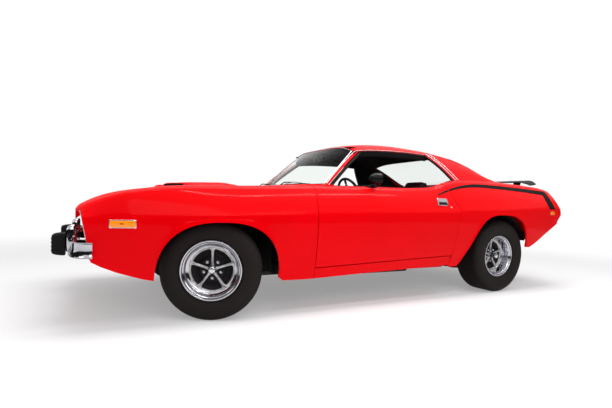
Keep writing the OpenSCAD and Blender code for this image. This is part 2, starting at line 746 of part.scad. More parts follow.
module front_suspension() {
  arm_end = 24;
  color([0.15, 0.15, 0.15]) {
    translate([-420 * kx, front_axle_y - 70, 270 * kz]) cube([840 * kx, 140, 59.7 * kz]);
    both() {
      hull() {
        translate([kingpin_x, front_axle_y, front_r - 135]) cylinder(h = 34.7, r = arm_end, $fn = 32);
        translate([370 * kx, front_axle_y - 60, front_r - 135]) cube([40, 120, 34.7]);
      }
      translate([370 * kx, front_axle_y - 60, front_r - 120]) cube([40, 120, 272 * kz - front_r + 120]);
      hull() {
        translate([kingpin_x, front_axle_y, front_r + 100.3]) cylinder(h = 28, r = arm_end, $fn = 32);
        translate([421.3 * kx, front_axle_y - 60, 450 * kz]) cube([20, 120, 26]);
      }
    }
  }
}

module rear_suspension() {
  spring_x = 435 * kx;
  color([0.12, 0.12, 0.12]) {
    translate([-rear_track / 2 + 60, rear_axle_y, rear_r]) rotate([0, 90, 0])
      cylinder(h = rear_track - 120, r = 38);
    translate([-rear_track / 2 - 20, rear_axle_y, rear_r]) rotate([0, 90, 0])
      cylinder(h = rear_track + 40, r = spindle_diameter / 2);
    translate([-100, rear_axle_y, rear_r]) rotate([0, 90, 0]) cylinder(h = 200, r = 108);
    translate([0, along(-419), 350 * kz]) rotate([-90, 0, 0])
      cylinder(h = rear_axle_y - along(-419), r = 34);
    both() {
      translate([spring_x, 0, 0]) rotate([90, 0, 90]) linear_extrude(50) polygon([
        [rear_axle_y - 430, 439.7 * kz], [rear_axle_y - 470, 439.7 * kz], [rear_axle_y - 470, 400 * kz],
        [rear_axle_y - 300, rear_r - 52], [rear_axle_y, rear_r - 66], [rear_axle_y + 300, rear_r - 52],
        [rear_axle_y + 640, 400 * kz], [rear_axle_y + 640, 439.7 * kz], [rear_axle_y + 600, 439.7 * kz],
        [rear_axle_y + 600, 412 * kz], [rear_axle_y + 280, rear_r - 30], [rear_axle_y, rear_r - 34],
        [rear_axle_y - 280, rear_r - 30], [rear_axle_y - 430, 412 * kz]]);
    }
  }
}

module tyre(r, w) {
  rotate([0, 90, 0]) rotate_extrude($fn = 96) polygon([
    [bead_diameter / 2, -w * 0.355], [bead_diameter / 2, w * 0.355],
    [rim_diameter / 2 + 2, w * 0.355], [rim_diameter / 2 + 12, w * 0.43],
    [r * 0.8, w * 0.5], [r * 0.9, w * 0.48],
    [r * 0.975, w * 0.41], [r, w * 0.34], [r, -w * 0.34], [r * 0.975, -w * 0.41],
    [r * 0.9, -w * 0.48], [r * 0.8, -w * 0.5], [rim_diameter / 2 + 12, -w * 0.43],
    [rim_diameter / 2 + 2, -w * 0.355]]);
}

module rim(w, disc_x) {
  br = bead_diameter / 2;
  rotate([0, 90, 0]) difference() {
    union() {
      rotate_extrude($fn = 96) polygon([
        [br - 14, -w * 0.4], [rim_diameter / 2, -w * 0.4], [rim_diameter / 2, -w * 0.36],
        [br, -w * 0.36], [br, w * 0.36], [rim_diameter / 2, w * 0.36], [rim_diameter / 2, w * 0.4],
        [br - 14, w * 0.4]]);
      translate([0, 0, disc_x]) cylinder(h = 12, r = br - 6);
      translate([0, 0, disc_x - 20]) cylinder(h = 60, r = 46);
    }
    for (i = [0 : spoke_count - 1]) rotate([0, 0, i * 360 / spoke_count])
      translate([0, 0, disc_x - 5]) linear_extrude(30) polygon([[br * 0.48, -38], [br * 0.48, 38],
        [br * 0.73, 76], [br * 0.79, 40], [br * 0.81, 0], [br * 0.79, -40], [br * 0.73, -76]]);
    translate([0, 0, disc_x - 60]) cylinder(h = 90, r = bore_r);
  }
}

module at_front(side) {
  translate([side * kingpin_x, front_axle_y, front_r]) rotate([0, 0, parked_steer])
    translate([side * (front_track / 2 - kingpin_x), 0, 0]) children();
}

module knuckle() {
  off = front_track / 2 - kingpin_x;
  difference() {
    union() {
      translate([-off, 0, -100]) cylinder(h = 200, r = 22);
      translate([-off, 0, 0]) rotate([0, 90, 0]) cylinder(h = off + 5, r = 40);
      translate([-off, 0, 0]) rotate([0, 90, 0]) cylinder(h = off + 50, r = spindle_diameter / 2);
    }
  }
}

module left_front_knuckle() {
  color([0.2, 0.2, 0.2]) at_front(1) knuckle();
}

module right_front_knuckle() {
  color([0.2, 0.2, 0.2]) at_front(-1) mirror([1, 0, 0]) knuckle();
}

module left_front_wheel() {
  color([0.7, 0.7, 0.72]) at_front(1) rim(front_tyre_width, 30);
}

module left_front_tyre() {
  color([0.03, 0.03, 0.03]) at_front(1) tyre(front_r, front_tyre_width);
}

module right_front_wheel() {
  color([0.7, 0.7, 0.72]) at_front(-1) mirror([1, 0, 0]) rim(front_tyre_width, 30);
}

module right_front_tyre() {
  color([0.03, 0.03, 0.03]) at_front(-1) tyre(front_r, front_tyre_width);
}

module left_rear_wheel() {
  color([0.7, 0.7, 0.72]) translate([rear_track / 2, rear_axle_y, rear_r]) rim(rear_tyre_width, 10);
}

module left_rear_tyre() {
  color([0.03, 0.03, 0.03]) translate([rear_track / 2, rear_axle_y, rear_r])
    tyre(rear_r, rear_tyre_width);
}

module right_rear_wheel() {
  color([0.7, 0.7, 0.72]) translate([-rear_track / 2, rear_axle_y, rear_r]) mirror([1, 0, 0])
    rim(rear_tyre_width, 10);
}

module right_rear_tyre() {
  color([0.03, 0.03, 0.03]) translate([-rear_track / 2, rear_axle_y, rear_r])
    tyre(rear_r, rear_tyre_width);
}

underbody();
trunk_tub();
sills();
cowl_panel();
roof();
left_quarter_panel();
right_quarter_panel();
left_fender();
right_fender();
front_valance();
grille_panel();
headlights();
front_bumper();
bumper_guards();
tail_panels();
tail_lights();
rear_bumper();
windshield();
rear_window();
dashboard();
steering_column();
front_seats();
rear_seat();
engine();
exhaust();
fuel_tank();
front_suspension();
rear_suspension();
hood();
deck_lid();
rear_spoiler();
left_door();
door_mirror();
right_door();
steering_wheel();
left_front_knuckle();
right_front_knuckle();
left_front_wheel();
left_front_tyre();
right_front_wheel();
right_front_tyre();
left_rear_wheel();
left_rear_tyre();
right_rear_wheel();
right_rear_tyre();
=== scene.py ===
# %% [markdown]
# # A two-door muscle car, piece by piece
# The CAD model gives every body, joint and size. This script keeps that frame and builds the visible car
# around it: painted sheet metal, chrome, glass, rubber and cloth. Each step says what the piece is on a
# real car, how it could be made, and why this way was picked.

# %% Load the frame
import math
import bmesh
import bpy
import numpy as np
from mathutils import Matrix, Vector
from mathutils.bvhtree import BVHTree


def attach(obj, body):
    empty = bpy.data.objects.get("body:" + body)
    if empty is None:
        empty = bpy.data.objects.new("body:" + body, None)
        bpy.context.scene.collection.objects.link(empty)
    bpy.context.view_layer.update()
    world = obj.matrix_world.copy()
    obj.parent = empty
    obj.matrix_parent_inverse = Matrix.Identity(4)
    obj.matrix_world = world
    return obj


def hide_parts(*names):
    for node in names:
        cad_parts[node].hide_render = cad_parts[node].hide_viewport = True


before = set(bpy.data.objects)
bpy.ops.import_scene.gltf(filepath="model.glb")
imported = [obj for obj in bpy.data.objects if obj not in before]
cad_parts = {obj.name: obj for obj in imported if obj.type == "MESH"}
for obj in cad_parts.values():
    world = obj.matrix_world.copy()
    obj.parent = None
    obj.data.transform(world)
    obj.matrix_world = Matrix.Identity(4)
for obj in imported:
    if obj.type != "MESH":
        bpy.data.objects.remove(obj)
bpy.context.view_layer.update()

# %% [markdown]
# Body lines are read as millimetres along, across and up, measured from a point between the axles.
# One helper turns such a point into metres in the frame, so every later number stays in plain millimetres.

# %% Millimetres to the frame
MM = 0.001
MIDDLE_Y = -9.25


def at(x, y, z):
    return (x * MM, (y + MIDDLE_Y) * MM, z * MM)


def mix(a, b, t):
    return a + (b - a) * t


def spaced(a, b, n):
    """n + 1 values from a to b."""
    return [mix(a, b, i / n) for i in range(n + 1)]


def around(n):
    """The angles of n points round a circle."""
    return [2 * math.pi * i / n for i in range(n)]


def step(a, b, v):
    t = min(1.0, max(0.0, (v - a) / (b - a)))
    return t * t * (3 - 2 * t)


# %% [markdown]
# A part here is a list of corner points and a list of faces. Small functions make such parts: a grid for
# sheet metal, a loft through outlines, a lathe for round things, a tube for rods. They can be merged, moved
# and mirrored before one object is made, which keeps the object count low and each piece easy to follow.

# %% Parts as points and faces
def merge(*parts):
    points, faces = [], []
    for p, f in parts:
        base = len(points)
        points += list(p)
        faces += [tuple(i + base for i in face) for face in f]
    return points, faces


def mirrored(part):
    return [(-x, y, z) for x, y, z in part[0]], [tuple(reversed(f)) for f in part[1]]


SIDES = (("left", lambda part: part), ("right", mirrored))


def both(part):
    return merge(part, mirrored(part))


def moved(part, matrix):
    return [tuple(matrix @ Vector(p)) for p in part[0]], part[1]


def grid(rows, close_rows=False, flip=False):
    nr, nc = len(rows), len(rows[0])
    faces = []
    for r in range(nr if close_rows else nr - 1):
        for c in range(nc - 1):
            a, b = r * nc + c, (r + 1) % nr * nc + c
            faces.append((a, a + 1, b + 1, b) if not flip else (a, b, b + 1, a + 1))
    return [p for row in rows for p in row], faces


def loft(loops, caps=True):
    """Closed outlines with the same number of points, joined one to the next."""
    n = len(loops[0])
    faces = []
    for r in range(len(loops) - 1):
        for c in range(n):
            d = (c + 1) % n
            faces.append((r * n + c, r * n + d, (r + 1) * n + d, (r + 1) * n + c))
    if caps:
        last = (len(loops) - 1) * n
        faces.append(tuple(reversed(range(n))))
        faces.append(tuple(range(last, last + n)))
    return [p for loop in loops for p in loop], faces


def lathe(profile, count=64, closed=False):
    """A profile of (radius, distance along X) turned about the X axis."""
    rows = []
    for r, t in profile:
        rows.append([(t * MM, r * MM * math.cos(a), r * MM * math.sin(a))
                     for a in around(count)])
    n = len(rows)
    faces = []
    for r in range(n if closed else n - 1):
        for c in range(count):
            d = (c + 1) % count
            e = (r + 1) % n
            faces.append((r * count + c, e * count + c, e * count + d, r * count + d))
    if not closed:
        faces.append(tuple(range(count)))
        faces.append(tuple(reversed(range((n - 1) * count, n * count))))
    return [p for row in rows for p in row], faces


def tube(points, radius, sides=10, closed=False):
    """A round rod along points in metres; radius in millimetres, one or one a point."""
    pts = [Vector(p) for p in points]
    n = len(pts)
    radii = radius if isinstance(radius, (list, tuple)) else [radius] * n
    loops, normal = [], None
    for i, p in enumerate(pts):
        a = pts[i - 1] if i or closed else p
        b = pts[(i + 1) % n] if i < n - 1 or closed else p
        d = (b - a).normalized()
        if normal is None:
            normal = d.orthogonal().normalized()
        normal = (normal - d * normal.dot(d)).normalized()
        side = d.cross(normal)
        loops.append([tuple(p + (normal * math.cos(2 * math.pi * k / sides)
                                 + side * math.sin(2 * math.pi * k / sides)) * radii[i] * MM)
                      for k in range(sides)])
    if closed:
        return loft(loops + [loops[0]], caps=False)
    return loft(loops)


def bar(x0, x1, y0, y1, z0, z1, round_by=4, cuts=2):
    """A bar between two corners in body millimetres, with rounded edges."""
    mesh = bmesh.new()
    bmesh.ops.create_cube(mesh, size=1)
    for v in mesh.verts:
        v.co = Vector(at(mix(x0, x1, v.co.x + 0.5), mix(y0, y1, v.co.y + 0.5), mix(z0, z1, v.co.z + 0.5)))
    bmesh.ops.bevel(mesh, geom=mesh.edges[:], offset=round_by * MM, segments=cuts, profile=0.5,
                    affect="EDGES", clamp_overlap=True)
    part = [tuple(v.co) for v in mesh.verts], [tuple(v.index for v in f.verts) for f in mesh.faces]
    mesh.free()
    return part


def thick(rows, inner, flip=False):
    """A closed sheet between an outer and an inner grid of the same size."""
    nr, nc = len(rows), len(rows[0])
    points, faces = grid(rows, flip=flip)
    back, back_faces = grid(inner, flip=not flip)
    base = len(points)
    points = points + back
    faces = faces + [tuple(i + base for i in f) for f in back_faces]
    rim = [c for c in range(nc)] + [r * nc + nc - 1 for r in range(1, nr)]
    rim += [(nr - 1) * nc + c for c in range(nc - 2, -1, -1)] + [r * nc for r in range(nr - 2, 0, -1)]
    for i, a in enumerate(rim):
        b = rim[(i + 1) % len(rim)]
        faces.append((b, a, a + base, b + base) if not flip else (a, b, b + base, a + base))
    return points, faces


# %% [markdown]
# Objects are made from parts in one place. Edges sharper than a set angle are kept crisp, all others are
# shaded smooth, and a bevel can round the crisp ones, since no pressed or moulded edge is truly sharp.

# %% From a part to an object
def make(name, part, material, body, sharp=35, bevel=0.0, levels=0, replaces=(), outward=False):
    mesh = bpy.data.meshes.new(name)
    mesh.from_pydata([tuple(p) for p in part[0]], [], part[1])
    work = bmesh.new()
    work.from_mesh(mesh)
    bmesh.ops.remove_doubles(work, verts=work.verts[:], dist=1e-6)
    if outward:
        bmesh.ops.recalc_face_normals(work, faces=work.faces[:])
    work.to_mesh(mesh)
    work.free()
    mesh.shade_smooth()
    mesh.set_sharp_from_angle(angle=math.radians(sharp))
    obj = bpy.data.objects.new(name, mesh)
    bpy.context.scene.collection.objects.link(obj)
    mesh.materials.append(material)
    if bevel:
        m = obj.modifiers.new("rounded edges", "BEVEL")
        m.width = bevel * MM
        m.segments = 2
        m.limit_method = "ANGLE"
        m.angle_limit = math.radians(sharp)
        m.use_clamp_overlap = True
    if levels:
        m = obj.modifiers.new("smooth", "SUBSURF")
        m.levels = m.render_levels = levels
    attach(obj, body)
    if replaces:
        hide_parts(*replaces)
    return obj

# %% [markdown]
# Finishes come next. Every colour is written as the hex value seen on a screen and turned to linear light by
# one function. One helper adds a node, sets its sockets and links it, so each material reads as a short recipe.

# %% Colour and node helpers
def linear(code, alpha=1.0):
    parts = [int(code[i:i + 2], 16) / 255 for i in (1, 3, 5)]
    return tuple(c / 12.92 if c <= 0.04045 else ((c + 0.055) / 1.055) ** 2.4 for c in parts) + (alpha,)


def add_node(tree, kind, settings=None, sockets=None, links=None):
    node = tree.nodes.new(kind)
    for key, value in (settings or {}).items():
        setattr(node, key, value)
    for key, value in (sockets or {}).items():
        node.inputs[key].default_value = value
    for key, source in (links or {}).items():
        tree.links.new(source, node.inputs[key])
    return node


def new_material(name, **sockets):
    material = bpy.data.materials.new(name)
    material.use_nodes = True
    tree = material.node_tree
    shader = tree.nodes["Principled BSDF"]
    for key, value in sockets.items():
        shader.inputs[key.replace("_", " ")].default_value = value
    return material, tree, shader


def noise(tree, cells_per_metre, detail=2.0, roughness=0.5, stretch=(1, 1, 1)):
    where = add_node(tree, "ShaderNodeTexCoord")
    turn = add_node(tree, "ShaderNodeMapping", sockets={"Scale": stretch}, links={"Vector": where.outputs["Object"]})
    return add_node(tree, "ShaderNodeTexNoise",
                    sockets={"Scale": cells_per_metre, "Detail": detail, "Roughness": roughness},
                    links={"Vector": turn.outputs[0]})


def between(tree, source, low, high, from_low=0.3, from_high=0.7):
    return add_node(tree, "ShaderNodeMapRange",
                    sockets={"From Min": from_low, "From Max": from_high, "To Min": low, "To Max": high},
                    links={"Value": source}).outputs[0]


def two_tone(tree, source, dark, light, low=0.35, high=0.65):
    ramp = add_node(tree, "ShaderNodeValToRGB", links={"Fac": source})
    ramp.color_ramp.elements[0].position, ramp.color_ramp.elements[0].color = low, linear(dark)
    ramp.color_ramp.elements[1].position, ramp.color_ramp.elements[1].color = high, linear(light)
    return ramp.outputs["Color"]


def bump(tree, shader, height, strength, distance_mm):
    node = add_node(tree, "ShaderNodeBump", sockets={"Strength": strength, "Distance": distance_mm * MM},
                    links={"Height": height})
    tree.links.new(node.outputs["Normal"], shader.inputs["Normal"])


# %% [markdown]
# Automotive enamel is a coloured film under clear lacquer. The eye sees a deep even red, a sharp reflection
# from the lacquer, and a faint waviness in it that painters call orange peel, about 2 mm from crest to crest.

# %% Red enamel
def red_enamel():
    material, tree, shader = new_material("red_enamel", Roughness=0.5, Coat_Weight=0.13, Coat_Roughness=0.04,
                                          Coat_IOR=1.4, Specular_IOR_Level=0.12)
    shader.inputs["Specular Tint"].default_value = linear("#FF1420")
    drift = noise(tree, 1.6, 2)
    tree.links.new(two_tone(tree, drift.outputs["Fac"], "#EB0008", "#F4000C"), shader.inputs["Base Color"])
    peel = noise(tree, 420, 1)
    fine = add_node(tree, "ShaderNodeBump", sockets={"Strength": 0.05, "Distance": 0.12 * MM},
                    links={"Height": peel.outputs["Fac"]})
    tree.links.new(fine.outputs["Normal"], shader.inputs["Coat Normal"])
    return material


paint_red = red_enamel()
print("red enamel", paint_red.name)

# %% [markdown]
# Bright trim is steel with nickel and chromium plating: almost a mirror, very slightly blue-grey, with
# faint haze where it has been polished for years. Polishing haze is a soft change of roughness.

# %% Chrome and stainless trim
def plated_chrome():
    material, tree, shader = new_material("plated_chrome", Metallic=1.0)
    shader.inputs["Base Color"].default_value = linear("#B7B7BC")
    haze = noise(tree, 30, 4)
    tree.links.new(between(tree, haze.outputs["Fac"], 0.04, 0.13), shader.inputs["Roughness"])
    ripple = noise(tree, 9, 2)
    bump(tree, shader, ripple.outputs["Fac"], 0.12, 1.2)
    return material


def polished_stainless():
    material, tree, shader = new_material("polished_stainless_trim", Metallic=1.0)
    shader.inputs["Base Color"].default_value = linear("#C9CBCE")
    haze = noise(tree, 60, 3)
    tree.links.new(between(tree, haze.outputs["Fac"], 0.12, 0.24), shader.inputs["Roughness"])
    return material


chrome = plated_chrome()
stainless = polished_stainless()
print("bright trim ready")

# %% [markdown]
# Rubber and black plastics differ mostly in how they break the light: tyre rubber is dull and dusty,
# bumper rubber is smooth and dark, moulded ABS has a fine leather grain about 1 mm wide, and sprayed
# underseal is lumpy. Each gets its own bump, at its own size.

# %% Rubber, plastic and black paint
def tyre_rubber():
    material, tree, shader = new_material("tyre_rubber", Specular_IOR_Level=0.2)
    dust = noise(tree, 14, 5, 0.6)
    tree.links.new(two_tone(tree, dust.outputs["Fac"], "#130F0F", "#241C1B", 0.3, 0.75), shader.inputs["Base Color"])
    tree.links.new(between(tree, dust.outputs["Fac"], 0.62, 0.85), shader.inputs["Roughness"])
    fine = noise(tree, 700, 2)
    bump(tree, shader, fine.outputs["Fac"], 0.25, 0.3)
    return material


def grained(name, dark, light, roughness, grain_mm=1.0, depth=0.35, strength=0.4):
    material, tree, shader = new_material(name, Specular_IOR_Level=0.12)
    cloud = noise(tree, 5, 3)
    tree.links.new(two_tone(tree, cloud.outputs["Fac"], dark, light), shader.inputs["Base Color"])
    tree.links.new(between(tree, cloud.outputs["Fac"], roughness - 0.06, roughness + 0.06), shader.inputs["Roughness"])
    where = add_node(tree, "ShaderNodeTexCoord")
    cells = add_node(tree, "ShaderNodeTexVoronoi", {"feature": "DISTANCE_TO_EDGE"}, {"Scale": 1000 / grain_mm / 2},
                     {"Vector": where.outputs["Object"]})
    bump(tree, shader, between(tree, cells.outputs["Distance"], 0, 1, 0.0, 0.25), strength, depth)
    return material


def sprayed(name, dark, light, roughness, lump_mm=4.0, depth=0.5, strength=0.3, metallic=0.0):
    material, tree, shader = new_material(name, Metallic=metallic, Specular_IOR_Level=0.12 if metallic < 0.5 else 0.5)
    lumps = noise(tree, 1000 / lump_mm, 3)
    stain = noise(tree, 4, 4)
    tree.links.new(two_tone(tree, stain.outputs["Fac"], dark, light), shader.inputs["Base Color"])
    tree.links.new(between(tree, stain.outputs["Fac"], roughness - 0.08, roughness + 0.08), shader.inputs["Roughness"])
    bump(tree, shader, lumps.outputs["Fac"], strength, depth)
    return material


rubber_tyre = tyre_rubber()
rubber_block = grained("bumper_rubber", "#0B0B0C", "#151516", 0.52, 1.6, 0.15, 0.25)
plastic_black = grained("grained_black_abs", "#0C0C0D", "#161617", 0.48, 1.2)
gloss_black = sprayed("gloss_black_enamel", "#050506", "#0A0A0B", 0.14, 3, 0.05, 0.05)
satin_black = sprayed("satin_black_enamel", "#070707", "#0E0E0F", 0.42, 2, 0.08, 0.15)
stripe_black = sprayed("black_vinyl_tape", "#020202", "#050505", 0.6, 2, 0.02, 0.05)
underseal = sprayed("sprayed_underseal", "#0B0A0A", "#1A1817", 0.78, 5, 1.0, 0.45)
print("blacks ready")

# %% [markdown]
# The wheels are stamped steel painted argent silver. Behind the spokes sits a dark dish: near the hub its black is real
# paint, and further out it closes the open windows between the spokes and paints the shade seen through them. Castings
# and exhaust pipes are bare or heat-stained, so their colour drifts from grey to brown.

# %% Wheel paint, castings and exhaust steel
def argent_paint():
    material, tree, shader = new_material("argent_wheel_paint", Metallic=0.75)
    grime = noise(tree, 26, 4)
    tree.links.new(two_tone(tree, grime.outputs["Fac"], "#9C9A9A", "#C6C5C6"), shader.inputs["Base Color"])
    tree.links.new(between(tree, grime.outputs["Fac"], 0.24, 0.4), shader.inputs["Roughness"])
    flake = noise(tree, 1500, 1)
    bump(tree, shader, flake.outputs["Fac"], 0.1, 0.05)
    return material


wheel_silver = argent_paint()
# Charcoal is real paint near the hub and painted shade where the dish closes the open windows between the spokes.
wheel_paint_and_shade = sprayed("charcoal_paint_and_window_shade", "#161416", "#242124", 0.5, 1.5, 0.05, 0.15, 0.2)
iron = sprayed("bare_cast_iron", "#2A2827", "#3D3936", 0.7, 2.2, 0.4, 0.4, 0.7)
pipe_steel = sprayed("heat_stained_steel", "#2A2523", "#443E39", 0.5, 3, 0.2, 0.2, 0.9)
alloy = sprayed("sand_cast_aluminium", "#8C8E90", "#A5A6A8", 0.48, 1.6, 0.25, 0.3, 1.0)
engine_paint = sprayed("orange_engine_enamel", "#B3400F", "#C9501A", 0.35, 2.5, 0.2, 0.25)
print("metals ready")

# %% [markdown]
# Glass is clear with a slight green edge. Lamp lenses are coloured acrylic with moulded ribs inside, which a fine wave
# bump imitates at 3 mm spacing. The amber and ruby lenses are also given a faint painted glow, though no lamp on the
# car is lit; the ruby one carries it onto the gauge needles as well.

# %% Glass and lenses
def window_glass():
    material, tree, shader = new_material("window_glass", Roughness=0.0, IOR=1.08, Transmission_Weight=1.0)
    shader.inputs["Base Color"].default_value = linear("#F2F7F4")
    film = noise(tree, 3, 2)
    bump(tree, shader, film.outputs["Fac"], 0.01, 0.2)
    return material


def ribbed_lens(name, code, glow, rib_mm=3.0, clear=0.0):
    material, tree, shader = new_material(name, Roughness=0.12, Transmission_Weight=clear, IOR=1.49, Coat_Weight=0.6,
                                          Emission_Strength=glow)
    shader.inputs["Base Color"].default_value = linear(code)
    # A faint painted glow: the lens emits its own colour though no lamp on the car is lit.
    shader.inputs["Emission Color"].default_value = linear(code)
    where = add_node(tree, "ShaderNodeTexCoord")
    ribs = add_node(tree, "ShaderNodeTexWave", {"bands_direction": "DIAGONAL"}, {"Scale": 1000 / rib_mm / 6.28},
                    {"Vector": where.outputs["Object"]})
    bump(tree, shader, ribs.outputs["Fac"], 0.3, 0.3)
    return material


glass = window_glass()
# Amber and ruby get a painted glow; the ruby finish also makes the gauge needles and the marker centres glow.
amber_lens = ribbed_lens("amber_lens", "#FF8A00", 0.25)
ruby_lens = ribbed_lens("ruby_lens", "#A8000C", 0.06)
lamp_glass = ribbed_lens("fluted_lamp_glass", "#E9EEF2", 0.0, 6.0, 0.55)
print("glass ready")

# %% [markdown]
# Inside, the seats are oxblood vinyl with a leather grain, the floor is looped carpet, and the roof lining is
# perforated vinyl. Vinyl is glossier on its crests, carpet has no gloss at all.

# %% Trim materials
vinyl = grained("oxblood_vinyl", "#2A0A0E", "#3A1014", 0.42, 1.8, 0.4, 0.5)
vinyl_black = grained("black_vinyl", "#0D0B0C", "#171415", 0.42, 1.6, 0.3, 0.4)
carpet = sprayed("loop_pile_carpet", "#100D0D", "#1C1717", 0.95, 2.4, 2.0, 0.9)
lining = grained("perforated_headliner", "#121012", "#1A171A", 0.7, 3.0, 0.4, 0.5)
white_paint = sprayed("white_dial_enamel", "#D8D8D4", "#E8E8E4", 0.4, 1, 0.02, 0.05)
print("trim ready")

# %% [markdown]
# A car body is drawn with a few long lines: the side crease, the shoulder above it, the crest of the fender
# and the edge of the hood. Each is a short list of points; a smooth cubic runs through them. Every panel is
# then cut from sections that hang on these lines, so highlights run through from panel to panel.

# %% Long lines of the body
CREASE = [(-2240, 832, 668), (-2050, 872, 672), (-1700, 912, 684), (-1420, 930, 694), (-900, 932, 716),
          (-300, 930, 737), (300, 934, 757), (900, 945, 782), (1320, 948, 799), (1800, 935, 821),
          (2150, 902, 835), (2370, 866, 842)]
SHOULDER = [(-2200, 806, 702), (-2140, 822, 748), (-2065, 838, 790), (-1816, 848, 852), (-1561, 851, 873),
            (-1276, 852, 887),
            (-760, 850, 914), (-300, 848, 930), (290, 842, 951), (454, 838, 966), (572, 832, 996),
            (708, 824, 1034), (900, 818, 1050), (1223, 814, 1056), (1825, 806, 1050), (2077, 798, 1038),
            (2230, 788, 1012)]
CREST = [(-2200, 770, 722), (-2140, 784, 764), (-2065, 796, 802), (-1816, 802, 862), (-1561, 804, 884),
         (-1276, 805, 898),
         (-760, 806, 926), (-300, 806, 942), (290, 800, 963), (454, 796, 979), (572, 790, 1011),
         (708, 782, 1049), (900, 776, 1064), (1223, 772, 1070), (1825, 762, 1064), (2077, 752, 1051),
         (2230, 742, 1026)]
EDGE = [(-2200, 700, 712), (-2140, 712, 752), (-2065, 722, 790), (-1816, 728, 852), (-1561, 730, 873),
        (-1276, 730, 888),
        (-760, 730, 926), (1500, 672, 1074), (1825, 668, 1068), (2077, 662, 1055), (2230, 655, 1032)]
ROOF = [(-330, 0, 1302), (-100, 0, 1347), (160, 0, 1372), (420, 0, 1371), (700, 0, 1352), (860, 0, 1320)]
DRIP = [(-330, 545, 1245), (-100, 570, 1280), (160, 582, 1296), (420, 587, 1300), (620, 592, 1295),
        (860, 600, 1274), (1050, 636, 1216), (1200, 662, 1157), (1365, 682, 1094), (1470, 690, 1073),
        (1600, 694, 1066), (1790, 700, 1060)]


def curve(line, y, col):
    n, i = len(line), 0
    while i < n - 2 and y >= line[i + 1][0]:
        i += 1

    def rise(k):
        return (line[k + 1][col] - line[k][col]) / (line[k + 1][0] - line[k][0])

    def gap(k):
        return line[k + 1][0] - line[k][0]

    def inner(k):
        return (gap(k - 1) * rise(k) + gap(k) * rise(k - 1)) / (gap(k - 1) + gap(k))

    def slope(k):
        if k == 0:
            return 2 * rise(0) - inner(1)
        return 2 * rise(k - 1) - inner(k - 1) if k == n - 1 else inner(k)

    h = gap(i)
    t = (y - line[i][0]) / h
    return (line[i][col] * (2 * t ** 3 - 3 * t * t + 1) + h * slope(i) * (t ** 3 - 2 * t * t + t)
            + line[i + 1][col] * (3 * t * t - 2 * t ** 3) + h * slope(i + 1) * (t ** 3 - t * t))


def tuck(y, z):
    low = max(0.0, (curve(CREASE, y, 2) - z) / (curve(CREASE, y, 2) - 250))
    return curve(CREASE, y, 1) - 46 * low ** 2.2


print("crease height at the door", round(curve(CREASE, 0, 2)), "mm")

# %% [markdown]
# The nose and the tail lean, so the last stations of a panel shift with height. A section is a chain of
# corners whose turns are rounded by short curves: a small turn gives the crease, large ones the fender top.

# %% Sections of the side
HOOD_REAR, HOOD_FRONT, DECK_FRONT, DECK_REAR = -778, -2244, 1535, 2148


def ramp(v, *knots):
    for (a, pa), (b, pb) in zip(knots, knots[1:]):
        if v <= b or (b, pb) == knots[-1]:
            return mix(pa, pb, (v - a) / (b - a))


def nose_y(z):
    return ramp(z, (380, -2160), (540, -2190), (706, -2220), (722, -2246), (800, -2246))


def tail_y(z):
    return ramp(z, (690, 2205), (700, 2205), (785, 2298), (842, 2268), (1032, 2150)) if z > 700 else 2205


def lean(s, z):
    if s < -2040:
        return s + (-2040 - s) / 160 * (nose_y(z) + 2200)
    return s + (s - 1960) / 190 * (tail_y(z) - 2150) if s > 1960 else s


def rounded(corners, radii, samples=7):
    """A chain of corners with each turn eased over its radius."""
    pts = [np.array(c, float) for c in corners]
    chain = [pts[0]]
    for i in range(1, len(pts) - 1):
        a, b = pts[i - 1] - pts[i], pts[i + 1] - pts[i]
        la, lb = np.linalg.norm(a), np.linalg.norm(b)
        d = min(radii[i - 1], 0.49 * la, 0.49 * lb)
        start, end = pts[i] + a / la * d, pts[i] + b / lb * d
        for k in range(samples):
            t = k / (samples - 1)
            chain.append((1 - t) ** 2 * start + 2 * t * (1 - t) * pts[i] + t * t * end)
    chain.append(pts[-1])
    return chain


def knee(zb, zc):
    """Height at which the lower flank hands over to the crease."""
    return max(zc - 60, mix(zb, zc, 0.5))


def upper_section(s, top, zn):
    """Corners from below the crease to the crest or on to the hood edge, as (x, y, z)."""
    zc, zs, zk, ze = (curve(line, s, 2) for line in (CREASE, SHOULDER, CREST, EDGE))
    zm = mix(zc, zs, 0.55)
    yc, ym, ys, yk, ye = (lean(s, z) for z in (zc, zm, zs, zk, ze))
    chain = [(tuck(lean(s, zn), zn), lean(s, zn), zn), (curve(CREASE, yc, 1), yc, zc),
             (mix(curve(CREASE, ym, 1), curve(SHOULDER, ym, 1), 0.42), ym, zm),
             (curve(SHOULDER, ys, 1), ys, zs), (curve(CREST, yk, 1), yk, zk)]
    if top == "edge":
        chain.append((curve(EDGE, ye, 1), ye, ze))
    return chain


def side_rows(stations, top="edge", rows=16, lip=0.0):
    """Columns of the side at (station, lowest height); lip is how far the lowest edge flares out."""
    columns = []
    for s, zb in stations:
        zc = curve(CREASE, s, 2)
        zn = knee(zb, zc)
        column = []
        for r in range(rows):
            z = mix(zb, zn, (r / rows) ** 1.15)
            flare = lip * math.exp(-((z - zb) / 26) ** 1.5)
            column.append((tuck(lean(s, z), z) + flare, lean(s, z), z))
        corners = upper_section(s, top, zn)
        column += rounded(corners, [26, 400, 60, 60][:len(corners) - 2], 9)
        columns.append(column)
    return as_rows(columns)


